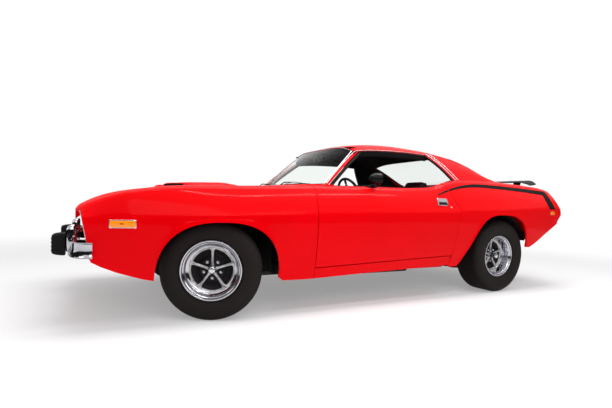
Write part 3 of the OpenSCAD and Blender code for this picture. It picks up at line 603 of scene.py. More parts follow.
def sheet_inside(rows, t):
    """The same grid moved in by t, square to its sections."""
    out = []
    for r in range(len(rows)):
        lo, hi = rows[max(0, r - 1)], rows[min(len(rows) - 1, r + 1)]
        line = []
        for c, p in enumerate(rows[r]):
            dx, dz = hi[c][0] - lo[c][0], hi[c][2] - lo[c][2]
            m = math.hypot(dx, dz) or 1
            line.append((p[0] - t * dz / m, p[1], p[2] + t * dx / m))
        out.append(line)
    return out


def as_rows(columns):
    return [list(row) for row in zip(*columns)]


def placed(rows):
    return [[at(*p) for p in row] for row in rows]


def panel(rows, t):
    return thick(placed(rows), placed(sheet_inside(rows, t)))


print("sections ready")

# %% [markdown]
# The front fender is one pressing with the wheel opening cut from its lower edge. On the real car the
# opening has a rolled lip that catches the light. Here the columns of the grid follow the opening, so its
# edge is clean, and the lowest rows flare out a few millimetres for the lip.

# %% Front fenders
SIDE_STEEL, PILLAR_STEEL, ARCH_LIP = 18, 14, 5.0
ARCH_Y, ARCH_HALF, ARCH_TOP, ARCH_BASE = -1434, 400, 650, 275


def front_arch(n=64):
    found = []
    for i in range(n + 1):
        f = math.pi * (1 - i / n)
        c, s = math.cos(f), math.sin(f)
        z = ARCH_BASE + (ARCH_TOP - ARCH_BASE) * abs(s) ** 0.8
        found.append((ARCH_Y + ARCH_HALF * math.copysign(abs(c) ** 0.8, c), max(292 if f > 1.57 else 258, z)))
    return found


def low_line(knots, n):
    xs = [k[0] for k in knots]
    return [(y, float(np.interp(y, xs, [k[1] for k in knots]))) for y in
            [mix(xs[0], xs[-1], i / n) for i in range(n)]]


fender_stations = (low_line([(-2200, 412), (-2140, 384), (-2060, 358), (-1960, 325), (-1890, 303), (-1834, 292)], 18)
                   + front_arch() + low_line([(-1030, 256), (-1000, 252), (-880, 250), (-757, 251)], 10)[1:]
                   + [(-757, 251)])
fender_skin = panel(side_rows(fender_stations, lip=ARCH_LIP), SIDE_STEEL)
for side, part in (("left", fender_skin), ("right", mirrored(fender_skin))):
    make(f"{side}_fender_skin", part, paint_red, "body", bevel=2.2, replaces=[f"{side}_fender"])
print("fender points", len(fender_skin[0]))

# %% [markdown]
# The doors carry the same section between two cuts: the front cut is upright, the rear cut follows the
# curved edge of the quarter panel. The outer skin folds over a frame, so the door is as thick as its shut
# face, and the gap of seven millimetres around it reads as one dark line.

# %% Doors
def gap_y(z):
    return ramp(z, (370, 600), (565, 645), (770, 672), (955, 588))


DOOR_FRONT = -751


def door_low(y):
    return 334 + 0.0394 * (y + 713)


def door_rows():
    columns = []
    for i in range(71):
        t = i / 70
        s = mix(DOOR_FRONT, 590, t)
        zc = curve(CREASE, s, 2)
        column = []
        for r in range(14):
            z = mix(door_low(s), zc - 60, (r / 14) ** 1.1)
            y = mix(DOOR_FRONT, gap_y(z), t)
            column.append((tuck(y, z), y, z))
        zs, zk = curve(SHOULDER, s, 2), curve(CREST, s, 2)
        zm = mix(zc, zs, 0.55)
        ys = [mix(DOOR_FRONT, gap_y(z), t) for z in (zc - 60, zc, zm, zs, zk)]
        corners = [(tuck(ys[0], zc - 60), ys[0], zc - 60), (curve(CREASE, ys[1], 1), ys[1], zc),
                   (mix(curve(CREASE, ys[2], 1), curve(SHOULDER, ys[2], 1), 0.42), ys[2], zm),
                   (curve(SHOULDER, ys[3], 1), ys[3], zs), (curve(CREST, ys[4], 1), ys[4], zk)]
        column += rounded(corners, [26, 400, 60], 9)
        columns.append(column)
    return as_rows(columns)


door_outer = door_rows()
door_inner = [[(786 - (3 if r > len(door_outer) - 4 else 0), p[1], min(p[2], curve(SHOULDER, p[1], 2) - 30))
               for p in row] for r, row in enumerate(door_outer)]
door_shell = thick(placed(door_outer), placed(door_inner))
for side, part in (("left", door_shell), ("right", mirrored(door_shell))):
    make(f"{side}_door_skin", part, paint_red, f"{side}_door", bevel=2.0, replaces=[f"{side}_door"])
print("door rows", len(door_outer))

# %% [markdown]
# The quarter panel starts at the door gap, carries the rear wheel opening and swells to the widest point
# of the car above it. Its columns near the gap are curved like the gap itself.

# %% Quarter panels
REAR_ARCH = [(690, 286), (760, 380), (829, 469), (880, 545), (932, 617), (990, 680), (1055, 722), (1130, 744),
             (1215, 752), (1310, 752), (1410, 744), (1500, 718), (1570, 668), (1612, 590), (1634, 510), (1640, 442)]


def smooth_chain(points, per):
    """A chain of points with its corners rounded away by a Catmull-Rom curve."""
    pts = [np.array(p, float) for p in points]
    out = []
    for i in range(len(pts) - 1):
        p0, p1, p2, p3 = pts[max(0, i - 1)], pts[i], pts[i + 1], pts[min(len(pts) - 1, i + 2)]
        for k in range(per):
            t = k / per
            out.append(0.5 * (2 * p1 + (p2 - p0) * t + (2 * p0 - 5 * p1 + 4 * p2 - p3) * t * t
                              + (3 * p1 - p0 - 3 * p2 + p3) * t ** 3))
    return [tuple(p) for p in out] + [tuple(pts[-1])]


quarter_stations = ([(600, 284), (612, 284), (624, 284), (645, 284), (668, 284)] + smooth_chain(REAR_ARCH, 5)
                    + low_line([(1642, 440), (1700, 438), (1790, 476), (1940, 556), (2060, 628), (2150, 682)], 26)
                    + [(2150, 682)])


def quarter_y(s, z):
    if s < 690:
        return mix(gap_y(z) + 7, 690, (s - 600) / 90)
    return lean(s, z)


def quarter_rows():
    columns = []
    for s, zb in quarter_stations:
        zc, zs, zk = (curve(line, s, 2) for line in (CREASE, SHOULDER, CREST))
        flare = ARCH_LIP if 700 < s < 1640 else 0.0
        zn = knee(zb, zc)
        column = []
        for r in range(16):
            z = mix(zb, zn, (r / 16) ** 1.15)
            y = quarter_y(s, z)
            column.append((tuck(y, z) + flare * math.exp(-((z - zb) / 26) ** 1.5), y, z))
        zm = mix(zc, zs, 0.55)
        ys = [quarter_y(s, z) for z in (zn, zc, zm, zs, zk)]
        corners = [(tuck(ys[0], zn), ys[0], zn), (curve(CREASE, ys[1], 1), ys[1], zc),
                   (mix(curve(CREASE, ys[2], 1), curve(SHOULDER, ys[2], 1), 0.42), ys[2], zm),
                   (curve(SHOULDER, ys[3], 1), ys[3], zs), (curve(CREST, ys[4], 1), ys[4], zk),
                   (curve(CREST, ys[4], 1) - 14, ys[4], zk - 1)]
        column += rounded(corners, [26, 400, 60, 10], 9)
        columns.append(column)
    return as_rows(columns)


quarter_outer = quarter_rows()
quarter_skin = panel(quarter_outer, SIDE_STEEL)


def sail_rows():
    """The roof pillar, from just under the crest up to the drip line."""
    columns = []
    for i in range(49):
        t = i / 48
        yb, yt = mix(752, 1620, t), mix(540, 1600, t)
        low = np.array([curve(CREST, yb, 1), yb, curve(CREST, yb, 2)])
        top = np.array([curve(DRIP, yt, 1), yt, curve(DRIP, yt, 2)])
        middle = mix(low, top, 0.5) + np.array([13, 0, 8]) * (1 - t)
        flat = min(1.0, max(0.0, (top[2] - low[2]) / 60))
        corners = [low + (10, 0, -4), low + (-8 * flat, 0, 1), middle, top + (-2, 0, -1),
                   top + (-16, 0, -1 - 4 * flat), top + (-16, 0, -22)]
        columns.append(rounded(corners, [34 * flat + 2, 400, 16, 3], 8))
    return as_rows(columns)


def deck_strip_rows():
    columns = []
    for i in range(31):
        s = mix(1490, 2150, i / 30)
        zk, ze = curve(CREST, s, 2), curve(EDGE, s, 2)
        corners = [(curve(CREST, s, 1) + 6, lean(s, zk), zk - 1), (curve(CREST, s, 1) - 14, lean(s, zk), zk),
                   (mix(curve(CREST, s, 1), curve(EDGE, s, 1), 0.55), lean(s, ze), mix(zk, ze, 0.5) + 1),
                   (curve(EDGE, s, 1) + 3, lean(s, ze), ze)]
        columns.append(rounded(corners, [20, 60], 6))
    return as_rows(columns)


sail_skin = panel(sail_rows(), PILLAR_STEEL)
strip_skin = panel(deck_strip_rows(), PILLAR_STEEL)
whole = merge(quarter_skin, sail_skin, strip_skin)
quarter_whole = ([(x if x < 0.9 else mix(0.9, 0.948, (x - 0.9) / 0.0532), y, z) for x, y, z in whole[0]], whole[1])
for side, part in (("left", quarter_whole), ("right", mirrored(quarter_whole))):
    make(f"{side}_quarter_skin", part, paint_red, "body", bevel=1.8,
         replaces=[f"{side}_quarter_panel"])
print("quarter points", len(quarter_whole[0]))

# %% [markdown]
# The sill closes the body under the door. It is a narrow strip on the same tucked flank, so it only needs a
# short grid; behind it stand the hinge pillar and the lock pillar that the door shuts against.

# %% Sills and door pillars
def sill_low(y):
    return ramp(y, (-751, 250), (-300, 268), (580, 300))


sill_outer = [[(tuck(y, z) - 2, y, z) for y in spaced(-751, 594, 40)
               for z in [mix(sill_low(y), door_low(y) - 7, r / 6)]] for r in range(7)]
sill_outer = [[(p[0] - 16, p[1], p[2] + 1) for p in sill_outer[0]]] + sill_outer
sill_back = [[(752, p[1], p[2]) for p in row] for row in sill_outer]
pillars = merge(bar(704, 872, -757, -746, 300, 880, 6), bar(704, 778, -757, -640, 320, 905, 10),
                bar(742, 778, 560, 640, 320, 950, 10), bar(742, 850, 668, 690, 470, 900, 6),
                bar(745, 852, 610, 640, 300, 560, 6))
sills = both(merge(thick(placed(sill_outer), placed(sill_back)), bar(756, 786, -750, 636, 262, 332, 8), pillars))
make("sills_and_pillars", sills, paint_red, "body", bevel=1.5, replaces=["sills"])
print("sill points", len(sills[0]))

# %% [markdown]
# The hood is nearly flat with a soft crown and two raised intakes near the windshield. A closed grid gives
# the sheet; the same grid, pushed up where an intake stands, makes each intake grow out of the metal.

# %% Hood with twin intakes
def hood_height(x, y):
    half = curve(EDGE, y, 1)
    t = (y - HOOD_FRONT) / (HOOD_REAR - HOOD_FRONT)
    return curve(EDGE, y, 2) + mix(4, 16, min(1, max(0, t))) * (1 - min(1, abs(x) / half) ** 3)


INTAKE_FRONT, INTAKE_SLANT, INTAKE_TALL, LID_DEEP = -1716, 0.85, 33, 24


def intake_rise(x, y):
    """Height of the raised intake over the hood at a point."""
    inner = mix(232, 262, step(-1500, -1100, y))
    outer = mix(394, 330, step(-1480, -1080, y)) - 90 * (1 - step(-1716, -1600, y))
    side = step(inner - 26, inner + 6, abs(x)) * (1 - step(outer - 6, outer + 26, abs(x)))
    mouth = step(INTAKE_FRONT + INTAKE_SLANT * (abs(x) - 232), INTAKE_FRONT + 22 + INTAKE_SLANT * (abs(x) - 232), y)
    tail_off = 1 - step(-1330, -1070, y)
    return side * mouth * tail_off * INTAKE_TALL


def hood_rows(t_sheet=0.0):
    rows = []
    for i in range(121):
        u = mix(1, -1, i / 120)
        row = []
        for j in range(91):
            t = j / 90
            s = mix(HOOD_FRONT + 44, HOOD_REAR, t)
            y = mix(HOOD_FRONT - 16 * (1 - u * u), HOOD_REAR, t)
            x = u * (curve(EDGE, s, 1) - 7)
            z = hood_height(x, s) + intake_rise(x, y)
            droop = 12 * (1 - step(0, 0.012, t))
            row.append((x, y, z - droop - t_sheet))
        rows.append(row)
    return rows


hood_top = hood_rows()
hood_under = [[(p[0], p[1], hood_height(p[0], p[1]) - LID_DEEP) for p in row] for row in hood_top]
make("hood_skin", thick(placed(hood_top), placed(hood_under)), paint_red, "hood", sharp=40,
     bevel=2.0, replaces=["hood"])


def intake_shade_plate():
    """A black plate across the front of an intake that paints the shade of its opening; it is lipped and leans with its
    mouth.
    """
    loops = []
    for depth in (0, 30):
        loops.append([at(x, -1714 + 0.85 * (x - 232) + depth, hood_height(x, -1714 + 0.85 * (x - 232)) + z) for x, z in
                      ((252, 3), (372, 3), (380, 12), (374, 27), (330, 30), (256, 29), (248, 14))])
    return loft(loops)


def hood_pin(x):
    foot = hood_height(x, -2056)
    plate = lathe([(0.01, 0), (15, 0), (15, 1.2), (13, 2), (0.01, 2)], 32)
    post = lathe([(0.01, 0), (4.5, 0), (4.5, 14), (3, 19), (0.01, 19.5)], 20)
    loop = tube([(0.014, r * math.cos(a), r * math.sin(a)) for r in (0.011,) for a in
                 around(20)], 1.3, 8, closed=True)
    up_turn = Matrix.Translation(at(x, -2052, foot)) @ Matrix.Rotation(-math.pi / 2, 4, "Y")
    return moved(merge(plate, post, loop), up_turn)


# Painted shade: a satin black plate stands for the dark inside of each intake opening.
make("intake_shade_plates", both(intake_shade_plate()), satin_black, "hood", outward=True)
make("hood_pins", both(hood_pin(612)), chrome, "hood", outward=True)
ribs = [bar(-640, 640, y, y + 34, hood_height(0, y) - 50, hood_height(0, y) - 25, 6) for y in (-2080, -1500, -900)]
make("hood_stiffeners", merge(*ribs), satin_black, "hood")
print("hood points", len(hood_top) * len(hood_top[0]))

# %% [markdown]
# The deck lid drops away gently to the tail and carries a black spoiler on two low stands. The spoiler is an
# aerofoil section drawn across the car with its ends turned down, so it is made by sweeping one outline.

# %% Deck lid and spoiler
def deck_height(x, y):
    return curve(EDGE, y, 2) + 14 * (1 - min(1, abs(x) / curve(EDGE, y, 1)) ** 2)


deck_top = []
for i in range(61):
    u = mix(1, -1, i / 60)
    row = []
    for j in range(61):
        y = mix(DECK_FRONT, DECK_REAR, j / 60)
        x = u * (curve(EDGE, y, 1) - 7)
        row.append((x, y, deck_height(x, y)))
    deck_top.append(row)
deck_under = [[(p[0], p[1], p[2] - LID_DEEP) for p in row] for row in deck_top]
make("deck_lid_skin", thick(placed(deck_top), placed(deck_under)), paint_red, "deck_lid",
     bevel=2.0, replaces=["deck_lid"])


def spoiler_part():
    wing = [(2004, 1128), (2030, 1136), (2075, 1143), (2130, 1151), (2170, 1157), (2185, 1156), (2180, 1149),
            (2140, 1139), (2080, 1128), (2030, 1121), (2008, 1122)]
    loops = []
    for i in range(81):
        x = mix(-664, 664, i / 80)
        end = max(0, (abs(x) - 560) / 104)
        small = 1 - 0.3 * step(0.3, 1, end)
        crown = 6 * (1 - (x / 664) ** 2)
        loops.append([at(x, mix(2100, y, small), mix(1138, z, small) - 38 * end ** 1.6 + crown - 4) for y, z in wing])
    stands = []
    for x in (-470, 470):
        outline = [(2034, deck_height(x, 2034) + 0.5), (2124, deck_height(x, 2124) + 0.5), (2146, 1139), (2052, 1124)]
        stands.append(loft([[at(x + o, y, z) for y, z in outline] for o in (-15, 15)]))
    return merge(loft(loops), *stands)


make("rear_spoiler_wing", spoiler_part(), satin_black, "deck_lid", bevel=2.0, outward=True,
     replaces=["rear_spoiler"])
print("deck height at the middle", round(deck_height(0, 1800)), "mm")

# %% [markdown]
# The roof is crowned both ways. Its side edge turns down into the drip rail, its front edge hangs over the
# glass. Below it lies the dark headliner, a second sheet that closes the roof from inside.

# %% Roof and headliner
def roof_height(u, y):
    ze, zc = curve(DRIP, y, 2), curve(ROOF, y, 2)
    return ze + (zc - ze) * (1 - abs(u) ** 4.5)


def header_y(u):
    return -225 - 60 * (1 - u * u)


def roof_rows(drop=0.0, inset=1.6, n_u=97, n_t=81):
    rows = []
    for i in range(n_u):
        u = mix(1, -1, i / (n_u - 1))
        u = math.copysign(1 - (1 - abs(u)) ** 1.3, u)
        rows.append([(u * (curve(DRIP, y, 1) - inset), y, roof_height(u, y) - drop)
                     for y in [mix(header_y(u), 850, j / (n_t - 1)) for j in range(n_t)]])
    return rows


roof_top = roof_rows()
make("roof_skin", thick(placed(roof_top), placed([[(p[0], p[1], p[2] - 16) for p in row] for row in roof_top])),
     paint_red, "body", bevel=3.0, replaces=["roof"])
lining_top = roof_rows(18, 8, 41, 31)
lining_low = [[(p[0], p[1], p[2] - 13) for p in row] for row in lining_top]
make("headliner", thick(placed(lining_top), placed(lining_low)), lining, "body")
print("roof top", round(roof_height(0, 300)), "mm")

# %% [markdown]
# The windshield leans back strongly and curves round at its sides; the rear glass lies almost flat between
# the roof pillars. Both are thin closed sheets, so light bends once going in and once coming out.

# %% Glass
def windshield_rows(lift=0.0, n_u=49, n_t=25):
    rows = []
    for i in range(n_u):
        u = mix(1, -1, i / (n_u - 1))
        low = np.array([u * 655, -560 - 130 * (1 - u * u), 955.5 - 9.3 * (1 - u * u)])
        top = np.array([u * 535, header_y(u) - 9, roof_height(u, header_y(u)) - 8])
        row = []
        for j in range(n_t):
            t = j / (n_t - 1)
            p = low * (1 - t) + top * t + np.array([0, -14, 12]) * 4 * t * (1 - t) * (1 - u * u)
            row.append(tuple(p + np.array([0, -0.67, 0.74]) * lift))
        rows.append(row)
    return rows


def backlight_height(u, y):
    t = (y - 850) / 590
    return curve(DRIP, y, 2) - 6 + mix(40, 8, t) * (1 - abs(u) ** mix(4.5, 2.5, t))


def backlight_rows(lift=0.0):
    return [[(u * (curve(DRIP, y, 1) - 1.8), y, backlight_height(u, y) + lift)
             for y in spaced(850.4, 1440, 40)]
            for u in spaced(1, -1, 56)]


GLASS_THICK = 5.0
shield = windshield_rows()
make("windshield_glass", thick(placed(shield), placed(windshield_rows(-GLASS_THICK))), glass, "body",
     replaces=["windshield"])
backlight = backlight_rows()
make("rear_glass", thick(placed(backlight), placed(backlight_rows(-GLASS_THICK))), glass, "body",
     replaces=["rear_window"])
print("glass ready")

# %% [markdown]
# A bright surround frames the windshield, and polished drip rails run from it over the doors and down the
# roof pillar as two parallel strips. Each is one outline swept along a body line.

# %% Windshield surround, pillars and drip rails
def ring_of(rows):
    """The border of a grid as one closed list of points."""
    nr, nc = len(rows), len(rows[0])
    ring = [rows[0][c] for c in range(nc)] + [rows[r][nc - 1] for r in range(1, nr)]
    ring += [rows[nr - 1][c] for c in range(nc - 2, -1, -1)] + [rows[r][0] for r in range(nr - 2, 0, -1)]
    return ring


def flat_trim(points, width, height, lift=(0, 0, 1), closed=False):
    """A half-round bright strip along points in body millimetres; lift is the way its crown faces."""
    pts = [Vector(at(*p)) for p in points]
    n = len(pts)
    outline = [(-0.5, 0), (-0.42, 0.55), (-0.2, 0.9), (0, 1), (0.2, 0.9), (0.42, 0.55), (0.5, 0)]
    loops = []
    for i, p in enumerate(pts):
        a = pts[i - 1] if i or closed else p
        b = pts[(i + 1) % n] if i < n - 1 or closed else p
        d = (b - a).normalized()
        crown = Vector(lift(i) if callable(lift) else lift)
        crown = (crown - d * crown.dot(d)).normalized()
        side = d.cross(crown)
        loops.append([tuple(p + (side * s * width + crown * u * height) * MM) for s, u in outline])
    if closed:
        return loft(loops + [loops[0]], caps=False)
    return loft(loops)


shield_ring = ring_of(windshield_rows(0.5, 37, 19))
shield_trim = flat_trim(shield_ring, 9, 5, (0, -0.67, 0.74), closed=True)
back_ring = [(p[0], p[1] + 2, p[2] + 4) for p in ring_of(backlight_rows(0.5)[::2])]
back_trim = flat_trim(back_ring, 15, 5, (0, 0.35, 0.94), closed=True)
rail_line = [(curve(DRIP, y, 1) + 1.5, y, curve(DRIP, y, 2) - 9) for y in spaced(-212, 545, 40)]
rail_front = [(p[0] + 2.5, p[1] - 2, p[2]) for p in [
    (mix(684, 560, t), mix(-560, -222, t), mix(956, 1254, t) + 10 * math.sin(math.pi * t)) for t in
    [i / 16 for i in range(16)]]]
drip_rail = flat_trim(rail_front + rail_line, 6, 6, (1, 0, 0.35))
make("windshield_surround", shield_trim, stainless, "body", outward=True)
make("rear_glass_surround", back_trim, stainless, "body", outward=True)
make("drip_rails", both(drip_rail), stainless, "body", outward=True)


def pillar():
    loops = []
    for i in range(21):
        t = i / 20
        c = np.array([mix(690, 564, t), mix(-546, -196, t), mix(950, 1250, t) + 10 * math.sin(math.pi * t)])
        w, d = mix(26, 20, t), mix(30, 34, t)
        outline = [(-w, -d), (w * 0.4, -d), (w * 0.75, -d * 0.5), (w * 0.75, d * 0.5), (w * 0.2, d), (-w, d)]
        loops.append([at(c[0] + a - 12, c[1] + b * 0.8, c[2] + b * 0.45) for a, b in outline])
    return loft(loops)


make("windshield_pillars", both(pillar()), paint_red, "body", sharp=60, bevel=4, outward=True)
print("rail points", len(rail_line))

# %% [markdown]
# Two bright strips run down the front edge of each roof pillar. Black rubber seals line the window opening,
# and the inside of the pillars and roof rails is trimmed in the headliner's black, so no bare metal shows.

# %% Pillar strips, window seals and inner trim
sail_net = sail_rows()
sail_front = [[row[c] for row in sail_net[4:-9]] for c in (1, 3)]
strips = [flat_trim([(p[0] + 1, p[1], p[2] + 1) for p in line[::2]], 7, 5, (0.75, 0, 0.66)) for line in sail_front]
make("roof_pillar_strips", both(merge(*strips)), stainless, "body", outward=True)
sail_inside = [[(p[0] - 15, p[1] + 3, p[2] - (14 if r > len(sail_net) - 14 else 4)) for p in row[:40]]
               for r, row in enumerate(sail_net[2:-6])]
make("roof_pillar_trim", both(thick(placed(sail_inside),
                                    placed([[(x - 4, y, z - 2) for x, y, z in row] for row in sail_inside]),
                                    flip=True)), lining, "body", sharp=60, outward=True)


def seal(points, radius):
    return tube([Vector(at(*p)) for p in points], radius, 10)


edge_seal = seal([(row[0][0] - 12, row[0][1] - 4, row[0][2] - 6) for row in sail_net[6:-6:2]], 10)
rail_seal = seal([(curve(DRIP, y, 1) - 12, y, curve(DRIP, y, 2) - 24) for y in spaced(-205, 556, 40)], 13)
pillar_seal = seal([(mix(678, 556, t), mix(-512, -168, t), mix(945, 1240, t) + 9 * math.sin(math.pi * t)) for t in
                    [i / 20 for i in range(21)]], 14)
rail_trim = []
for y in spaced(-236, 566, 30):
    x, z = curve(DRIP, y, 1), curve(DRIP, y, 2)
    rail_trim.append([at(x - dx, y, z - dz) for dx,
                      dz in ((5, 8), (3, 30), (6, 56), (16, 64), (34, 58), (62, 22), (70, 2))])
make("roof_rail_trim", both(loft(rail_trim)), lining, "body", sharp=50, outward=True)
make("window_seals", both(merge(edge_seal, rail_seal, pillar_seal)), rubber_block, "body",
     outward=True)
belt = seal([(curve(CREST, y, 1) - 20, y, curve(CREST, y, 2) - 1) for y in spaced(-560, 590, 60)], 5.5)
for side, flip in SIDES:
    make(f"{side}_belt_seal", flip(belt), rubber_block, f"{side}_door", outward=True)
rear_belt = seal([(curve(CREST, y, 1) - 18, y, curve(CREST, y, 2) + 1) for y in spaced(612, 740, 12)], 5.5)
make("rear_belt_seals", both(rear_belt), rubber_block, "body", outward=True)
print("pillar strips", len(strips))

# %% [markdown]
# Tread blocks, spokes, wheel nuts and grille bars all repeat. A small Geometry Nodes tree does the repeating:
# it sets copies of one part on points, either round an axle or along a line, then makes them real. The same
# thing could be done with a loop, but here the count and the spacing stay inputs that can be changed.

# %% A tree that repeats a part
def repeat_tree():
    tree = bpy.data.node_groups.new("repeat_part", "GeometryNodeTree")
    face = tree.interface
    face.new_socket("Part", in_out="INPUT", socket_type="NodeSocketGeometry")
    for name, kind, value in (("Count", "NodeSocketInt", 5), ("Turn", "NodeSocketFloat", 0.0),
                              ("Start Turn", "NodeSocketFloat", 0.0), ("Step", "NodeSocketVector", (0, 0, 0))):
        face.new_socket(name, in_out="INPUT", socket_type=kind).default_value = value
    face.new_socket("Finish", in_out="INPUT", socket_type="NodeSocketMaterial")
    face.new_socket("Result", in_out="OUTPUT", socket_type="NodeSocketGeometry")
    start = add_node(tree, "NodeGroupInput")
    line = add_node(tree, "GeometryNodeMeshLine", {"mode": "OFFSET"}, links={"Count": start.outputs["Count"],
                                                                              "Offset": start.outputs["Step"]})
    index = add_node(tree, "GeometryNodeInputIndex")
    angle = add_node(tree, "ShaderNodeMath", {"operation": "MULTIPLY_ADD"},
                     links={0: index.outputs[0], 1: start.outputs["Turn"], 2: start.outputs["Start Turn"]})
    turn = add_node(tree, "ShaderNodeCombineXYZ", links={"X": angle.outputs[0]})
    copies = add_node(tree, "GeometryNodeInstanceOnPoints",
                      links={"Points": line.outputs[0], "Instance": start.outputs["Part"], "Rotation": turn.outputs[0]})
    real = add_node(tree, "GeometryNodeRealizeInstances", links={0: copies.outputs[0]})
    finish = add_node(tree, "GeometryNodeSetMaterial", links={"Geometry": real.outputs[0],
                                                              "Material": start.outputs["Finish"]})
    add_node(tree, "NodeGroupOutput", links={0: finish.outputs[0]})
    return tree


REPEAT = repeat_tree()


def repeated(part, count, turn=0.0, step_by=(0, 0, 0), start_turn=0.0, material=None):
    """Copies of a part as one plain part: turned about X by turn radians and moved by step_by each time."""
    mesh = bpy.data.meshes.new("one")
    mesh.from_pydata([tuple(p) for p in part[0]], [], part[1])
    obj = bpy.data.objects.new("one", mesh)
    bpy.context.scene.collection.objects.link(obj)
    m = obj.modifiers.new("repeat", "NODES")
    m.node_group = REPEAT
    values = {"Count": count, "Turn": turn, "Start Turn": start_turn, "Step": step_by, "Finish": material or chrome}
    for item in REPEAT.interface.items_tree:
        if item.in_out == "INPUT" and item.name in values:
            m[item.identifier] = values[item.name]
    bpy.context.view_layer.update()
    result = bpy.data.meshes.new_from_object(obj.evaluated_get(bpy.context.evaluated_depsgraph_get()))
    made = [tuple(v.co) for v in result.vertices], [tuple(p.vertices) for p in result.polygons]
    bpy.data.objects.remove(obj)
    bpy.data.meshes.remove(mesh)
    bpy.data.meshes.remove(result)
    return made


print("five copies of a triangle:", len(repeated(([(0, 0, 0), (0, 1, 0), (0, 0, 1)], [(0, 1, 2)]), 5, 1.0)[1]))

# %% [markdown]
# A tyre is a carcass with a rounded section, plus tread blocks cut by grooves. The carcass is turned on a
# lathe; the blocks are one short row across the tread, repeated round it. Fine rings on the sidewall, left by
# the mould, break up the dull rubber. No maker's lettering is put on it.

# %% Tyres
FRONT_Y, REAR_Y = -1430.75, 1312.25
KINGPIN, FRONT_R, REAR_R, FRONT_W, REAR_W = 670, 329, 352, 235, 275
FRONT_X, REAR_X, BEAD, FLANGE = 733, 747.5, 190.5, 200
PARKED = math.radians(-22)


def hub_place(side, front):
    """From a wheel drawn at the origin, outer face towards +X, to its place on the car."""
    flip = Matrix.Scale(side, 4, (1, 0, 0))
    if not front:
        return Matrix.Translation((side * REAR_X * MM, REAR_Y * MM, REAR_R * MM)) @ flip
    return (Matrix.Translation((side * KINGPIN * MM, FRONT_Y * MM, FRONT_R * MM)) @ Matrix.Rotation(PARKED, 4, "Z")
            @ Matrix.Translation((side * (FRONT_X - KINGPIN) * MM, 0, 0)) @ flip)


def wheel_part(part, side, front):
    points, faces = moved(part, hub_place(side, front))
    return (points, [tuple(reversed(f)) for f in faces]) if side < 0 else (points, faces)


def carcass(r, w):
    half = [(BEAD + 0.5, 0.33), (BEAD + 0.5, 0.352), (FLANGE + 2.5, 0.358), (FLANGE + 9, 0.405), (FLANGE + 14, 0.437),
            (r * 0.72, 0.478), (r * 0.8, 0.498), (r * 0.86, 0.494), (r * 0.905, 0.474), (r * 0.945, 0.44)]
    side = [(a, b * w) for a, b in smooth_chain(half, 5)]
    rings = []
    for a, b in side:
        for centre, tall in ((FLANGE + 17, 1.3), (r * 0.74, 0.9), (r * 0.885, 1.2), (r * 0.915, 0.9)):
            b += tall * math.exp(-((a - centre) / 1.6) ** 2)
        rings.append((a, b))
    crown = [(r * 0.965 - 2, 0.41 * w), (r - 9.5, 0.365 * w)] + [(r - 8, 0.335 * w * k) for k in (1, 0.5, 0)]
    outer = rings + crown
    whole = outer + [(a, -b) for a, b in reversed(outer[:-1])]
    inner = [(BEAD + 12, -0.28 * w), (r * 0.82, -0.44 * w), (r - 22, -0.3 * w), (r - 22, 0.3 * w), (r * 0.82, 0.44 * w),
             (BEAD + 12, 0.28 * w)]
    return lathe(whole + inner, 128, closed=True)


def tread_row(r, w, pitch):
    """One pitch of the tread: blocks between four long grooves, the outer ones rolling over the shoulder."""
    blocks = []
    edges = [(-0.335, -0.205), (-0.175, -0.065), (-0.038, 0.038), (0.065, 0.175), (0.205, 0.335)]
    for k, (a, b) in enumerate(edges):
        skew = (0.2, -0.25, 0.0, 0.25, -0.2)[k] * pitch
        gap = 0.06 if k == 2 else 0.14
        loops = []
        for x, h in ((a, 0), (a + 0.008, 1), (b - 0.008, 1), (b, 0)):
            loops.append((x * w, h))
        bottom, top = [], []
        for x, lift in ((a, -0.5), (b, 0.5)):
            for e in (-0.5 + gap / 2, 0.5 - gap / 2):
                t = (e * pitch + skew * lift * 2) / r
                bottom.append((x * w * MM, (r - 9) * MM * math.sin(t), (r - 9) * MM * math.cos(t)))
                t2 = (e * pitch * 0.94 + skew * lift * 2) / r
                top.append((x * w * MM * (0.985 if abs(x) > 0.3 else 1), (r - 0.3) * MM * math.sin(t2),
                            (r - 0.3) * MM * math.cos(t2)))
        order = [0, 1, 3, 2]
        blocks.append(loft([[bottom[i] for i in order], [top[i] for i in order]]))
    for s in (-1, 1):
        loops = []
        for x, rr in ((0.345, r - 1.2), (0.385, r * 0.984), (0.425, r * 0.962), (0.448, r * 0.94)):
            loops.append([(s * x * w * MM, (rr - d) * MM * math.sin(e * pitch / r),
                           (rr - d) * MM * math.cos(e * pitch / r))
                          for e, d in ((-0.38, 0), (0.38, 0), (0.38, 9), (-0.38, 9))])
        blocks.append(loft(loops))
    return merge(*blocks)


def tyre_part(r, w, pitches):
    return merge(carcass(r, w), repeated(tread_row(r, w, 2 * math.pi * r / pitches), pitches, 2 * math.pi / pitches))


front_tyre, rear_tyre = tyre_part(FRONT_R, FRONT_W, 78), tyre_part(REAR_R, REAR_W, 80)
CORNERS = [("left_front", 1, True), ("right_front", -1, True), ("left_rear", 1, False), ("right_rear", -1, False)]
for name, side, front in CORNERS:
    part = wheel_part(front_tyre if front else rear_tyre, side, front)
    make(f"{name}_tyre_tread", part, rubber_tyre, f"{name}_wheel", sharp=28, outward=True,
         replaces=[f"{name}_tyre"])
print("tyre faces", len(front_tyre[1]))

# %% [markdown]
# The road wheel is stamped steel: a plated rim with a stepped lip, a dark dished centre and five narrow
# silver spokes that widen where they meet the rim. Rear wheels are wider, so their centre sits deeper.
# The rim and centre are lathe work; one spoke and one nut are modelled and repeated five times.

